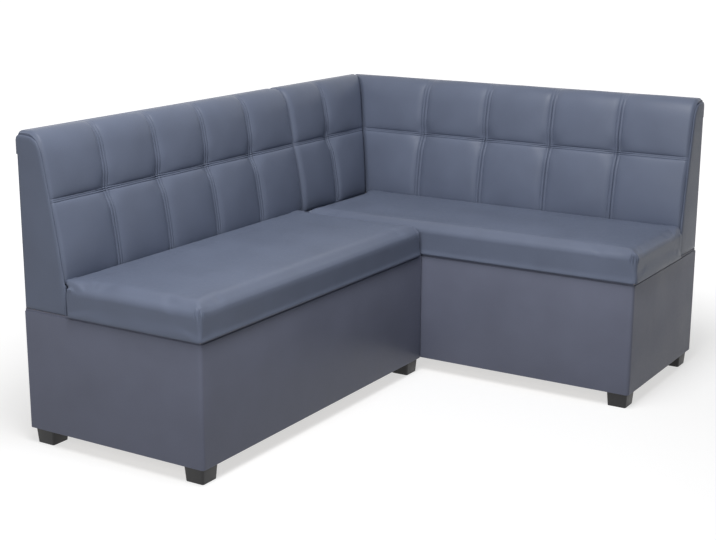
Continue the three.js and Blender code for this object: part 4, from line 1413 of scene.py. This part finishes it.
def leaf_screws(side, which, kind):
    low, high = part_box(f"{side}_hinge_{which}_{kind}_leaf")
    depth_axis, along_axis = (0, 1) if side == "left" else (1, 0)
    outward = unit(depth_axis, LEAF_WAYS[kind] * (1 if side == "left" else -1))
    bm = bmesh.new()
    for share in HOLE_SHARES:
        spot = Vector((0, 0, HINGE_HEIGHT - LEAF_DROP * HOLE_DROP_SHARE))
        spot[along_axis] = low[along_axis] + (high[along_axis] - low[along_axis]) * share
        spot[depth_axis] = (WINGS[side] @ Vector((LEAF_FACES[kind], 0, 0)))[depth_axis]
        head = screw_head()
        head.transform(Matrix.Translation(spot) @ outward.to_track_quat("Z", "Y").to_matrix().to_4x4())
        join(bm, head)
    body = "bench" if kind == "fixed" else f"{side}_seat"
    make_piece(f"{side}_hinge_{which}_{kind}_screws", bm, "bench", body, zinc_steel,
               sharp=SCREW_SHARP)


for side_name in SIDES:
    for which_hinge in ("first", "second"):
        for leaf_kind in LEAF_FACES:
            leaf_screws(side_name, which_hinge, leaf_kind)

# %% [markdown]
# ## Feet
# The feet are square plastic blocks that narrow towards the floor. A cube gets its lower face scaled in,
# its upright corners rounded, and the edge of its sole softened.

# %% Feet
SOLE_SHARE, FOOT_CORNER, SOLE_EDGE = 0.9, 0.006, 0.0015


def foot(name):
    low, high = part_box(name)
    middle = (low + high) / 2
    bm = box_between(low, high)
    sole = [vert for vert in bm.verts if vert.co.z < middle.z]
    bmesh.ops.scale(bm, vec=(SOLE_SHARE, SOLE_SHARE, 1), verts=sole, space=Matrix.Translation(-middle))
    bevel_edges(bm, upright_edges(bm), FOOT_CORNER, 5)
    bevel_edges(bm, edges_at_height(bm, low.z), SOLE_EDGE, 3)
    return bm


for foot_name in [name for name in frame["nodes"] if "_foot_" in name]:
    make_piece(f"{foot_name}_moulded", foot(foot_name), "bench", "bench", black_plastic,
               [foot_name])

# %% [markdown]
# ## Room and lamps
# A soft white room and two large lamps light the bench the way a catalogue picture is lit. The camera sees
# plain white where there is nothing, while the light that the room sends to the bench is far weaker, so
# the lamps can give it its shape.

# %% Room and lamps
AMBIENT = 0.08
AIM = (-0.1, 0.0, 0.4)
LAMPS = {
    "overhead": ((0.5, -1.2, 3.3), (1.2, 2.2), 94),
    "front": ((0.8, -4.3, 2.4), (1.4, 1.8), 52),
}


def area_lamp(name, place, size, power):
    data = bpy.data.lights.new(name, "AREA")
    data.shape = "RECTANGLE"
    data.size, data.size_y = size
    data.energy = power
    lamp = new_object(name, data)
    lamp.location = place
    lamp.rotation_euler = (Vector(AIM) - Vector(place)).to_track_quat("-Z", "Y").to_euler()


def seen_directly(tree):
    """1 for rays of the camera, of gloss and of glass, and 0 for the light on the bench."""
    path = add_node(tree, "ShaderNodeLightPath").outputs
    shown = maths(tree, "MAXIMUM", path["Is Glossy Ray"], path["Is Transmission Ray"])
    return maths(tree, "MAXIMUM", path["Is Camera Ray"], shown)


world = bpy.data.worlds.new("studio")
bpy.context.scene.world = world
world.use_nodes = True
background = world.node_tree.nodes["Background"]
background.inputs["Color"].default_value = (1, 1, 1, 1)
shown = maths(world.node_tree, "MULTIPLY", seen_directly(world.node_tree), 1.0 - AMBIENT)
world.node_tree.links.new(maths(world.node_tree, "ADD", shown, AMBIENT), background.inputs["Strength"])
for lamp_name, settings in LAMPS.items():
    area_lamp(lamp_name, *settings)
print("lamps:", len(LAMPS))

# %% [markdown]
# ## Floor
# The floor takes the shadow of the bench. Close by it is a little darker than white, and it brightens with
# the distance, so that it joins the white room without an edge.

# %% Floor
FLOOR_NEAR, FLOOR_FAR, FLOOR_LIFT = 1.15, 2.4, 0.62
FLOOR_HALF = 30

floor_bm = bmesh.new()
bmesh.ops.create_grid(floor_bm, x_segments=1, y_segments=1, size=FLOOR_HALF)
floor = mesh_object("floor", floor_bm)
floor_face = {"Base Color": (0.42, 0.42, 0.42, 1), "Roughness": 0.9, "Emission Color": (1, 1, 1, 1)}
floor_material, floor_tree, floor_shader = new_material("pale floor", floor_face)
floor_place = add_node(floor_tree, "ShaderNodeTexCoord").outputs["Object"]
distance = add_node(floor_tree, "ShaderNodeVectorMath", {0: floor_place}, operation="LENGTH").outputs["Value"]
lift = map_range(floor_tree, distance, FLOOR_NEAR, FLOOR_FAR, FLOOR_LIFT, 1.0)
glow = maths(floor_tree, "MULTIPLY", seen_directly(floor_tree), lift)
floor_tree.links.new(glow, floor_shader.inputs["Emission Strength"])
floor.data.materials.append(floor_material)

# %% [markdown]
# ## The end
# The box of the CAD model was kept at the start, where it placed the wings. Last, the colours are shown
# with the plain Standard view transform.

# %% The end
bpy.context.scene.view_settings.view_transform = "Standard"
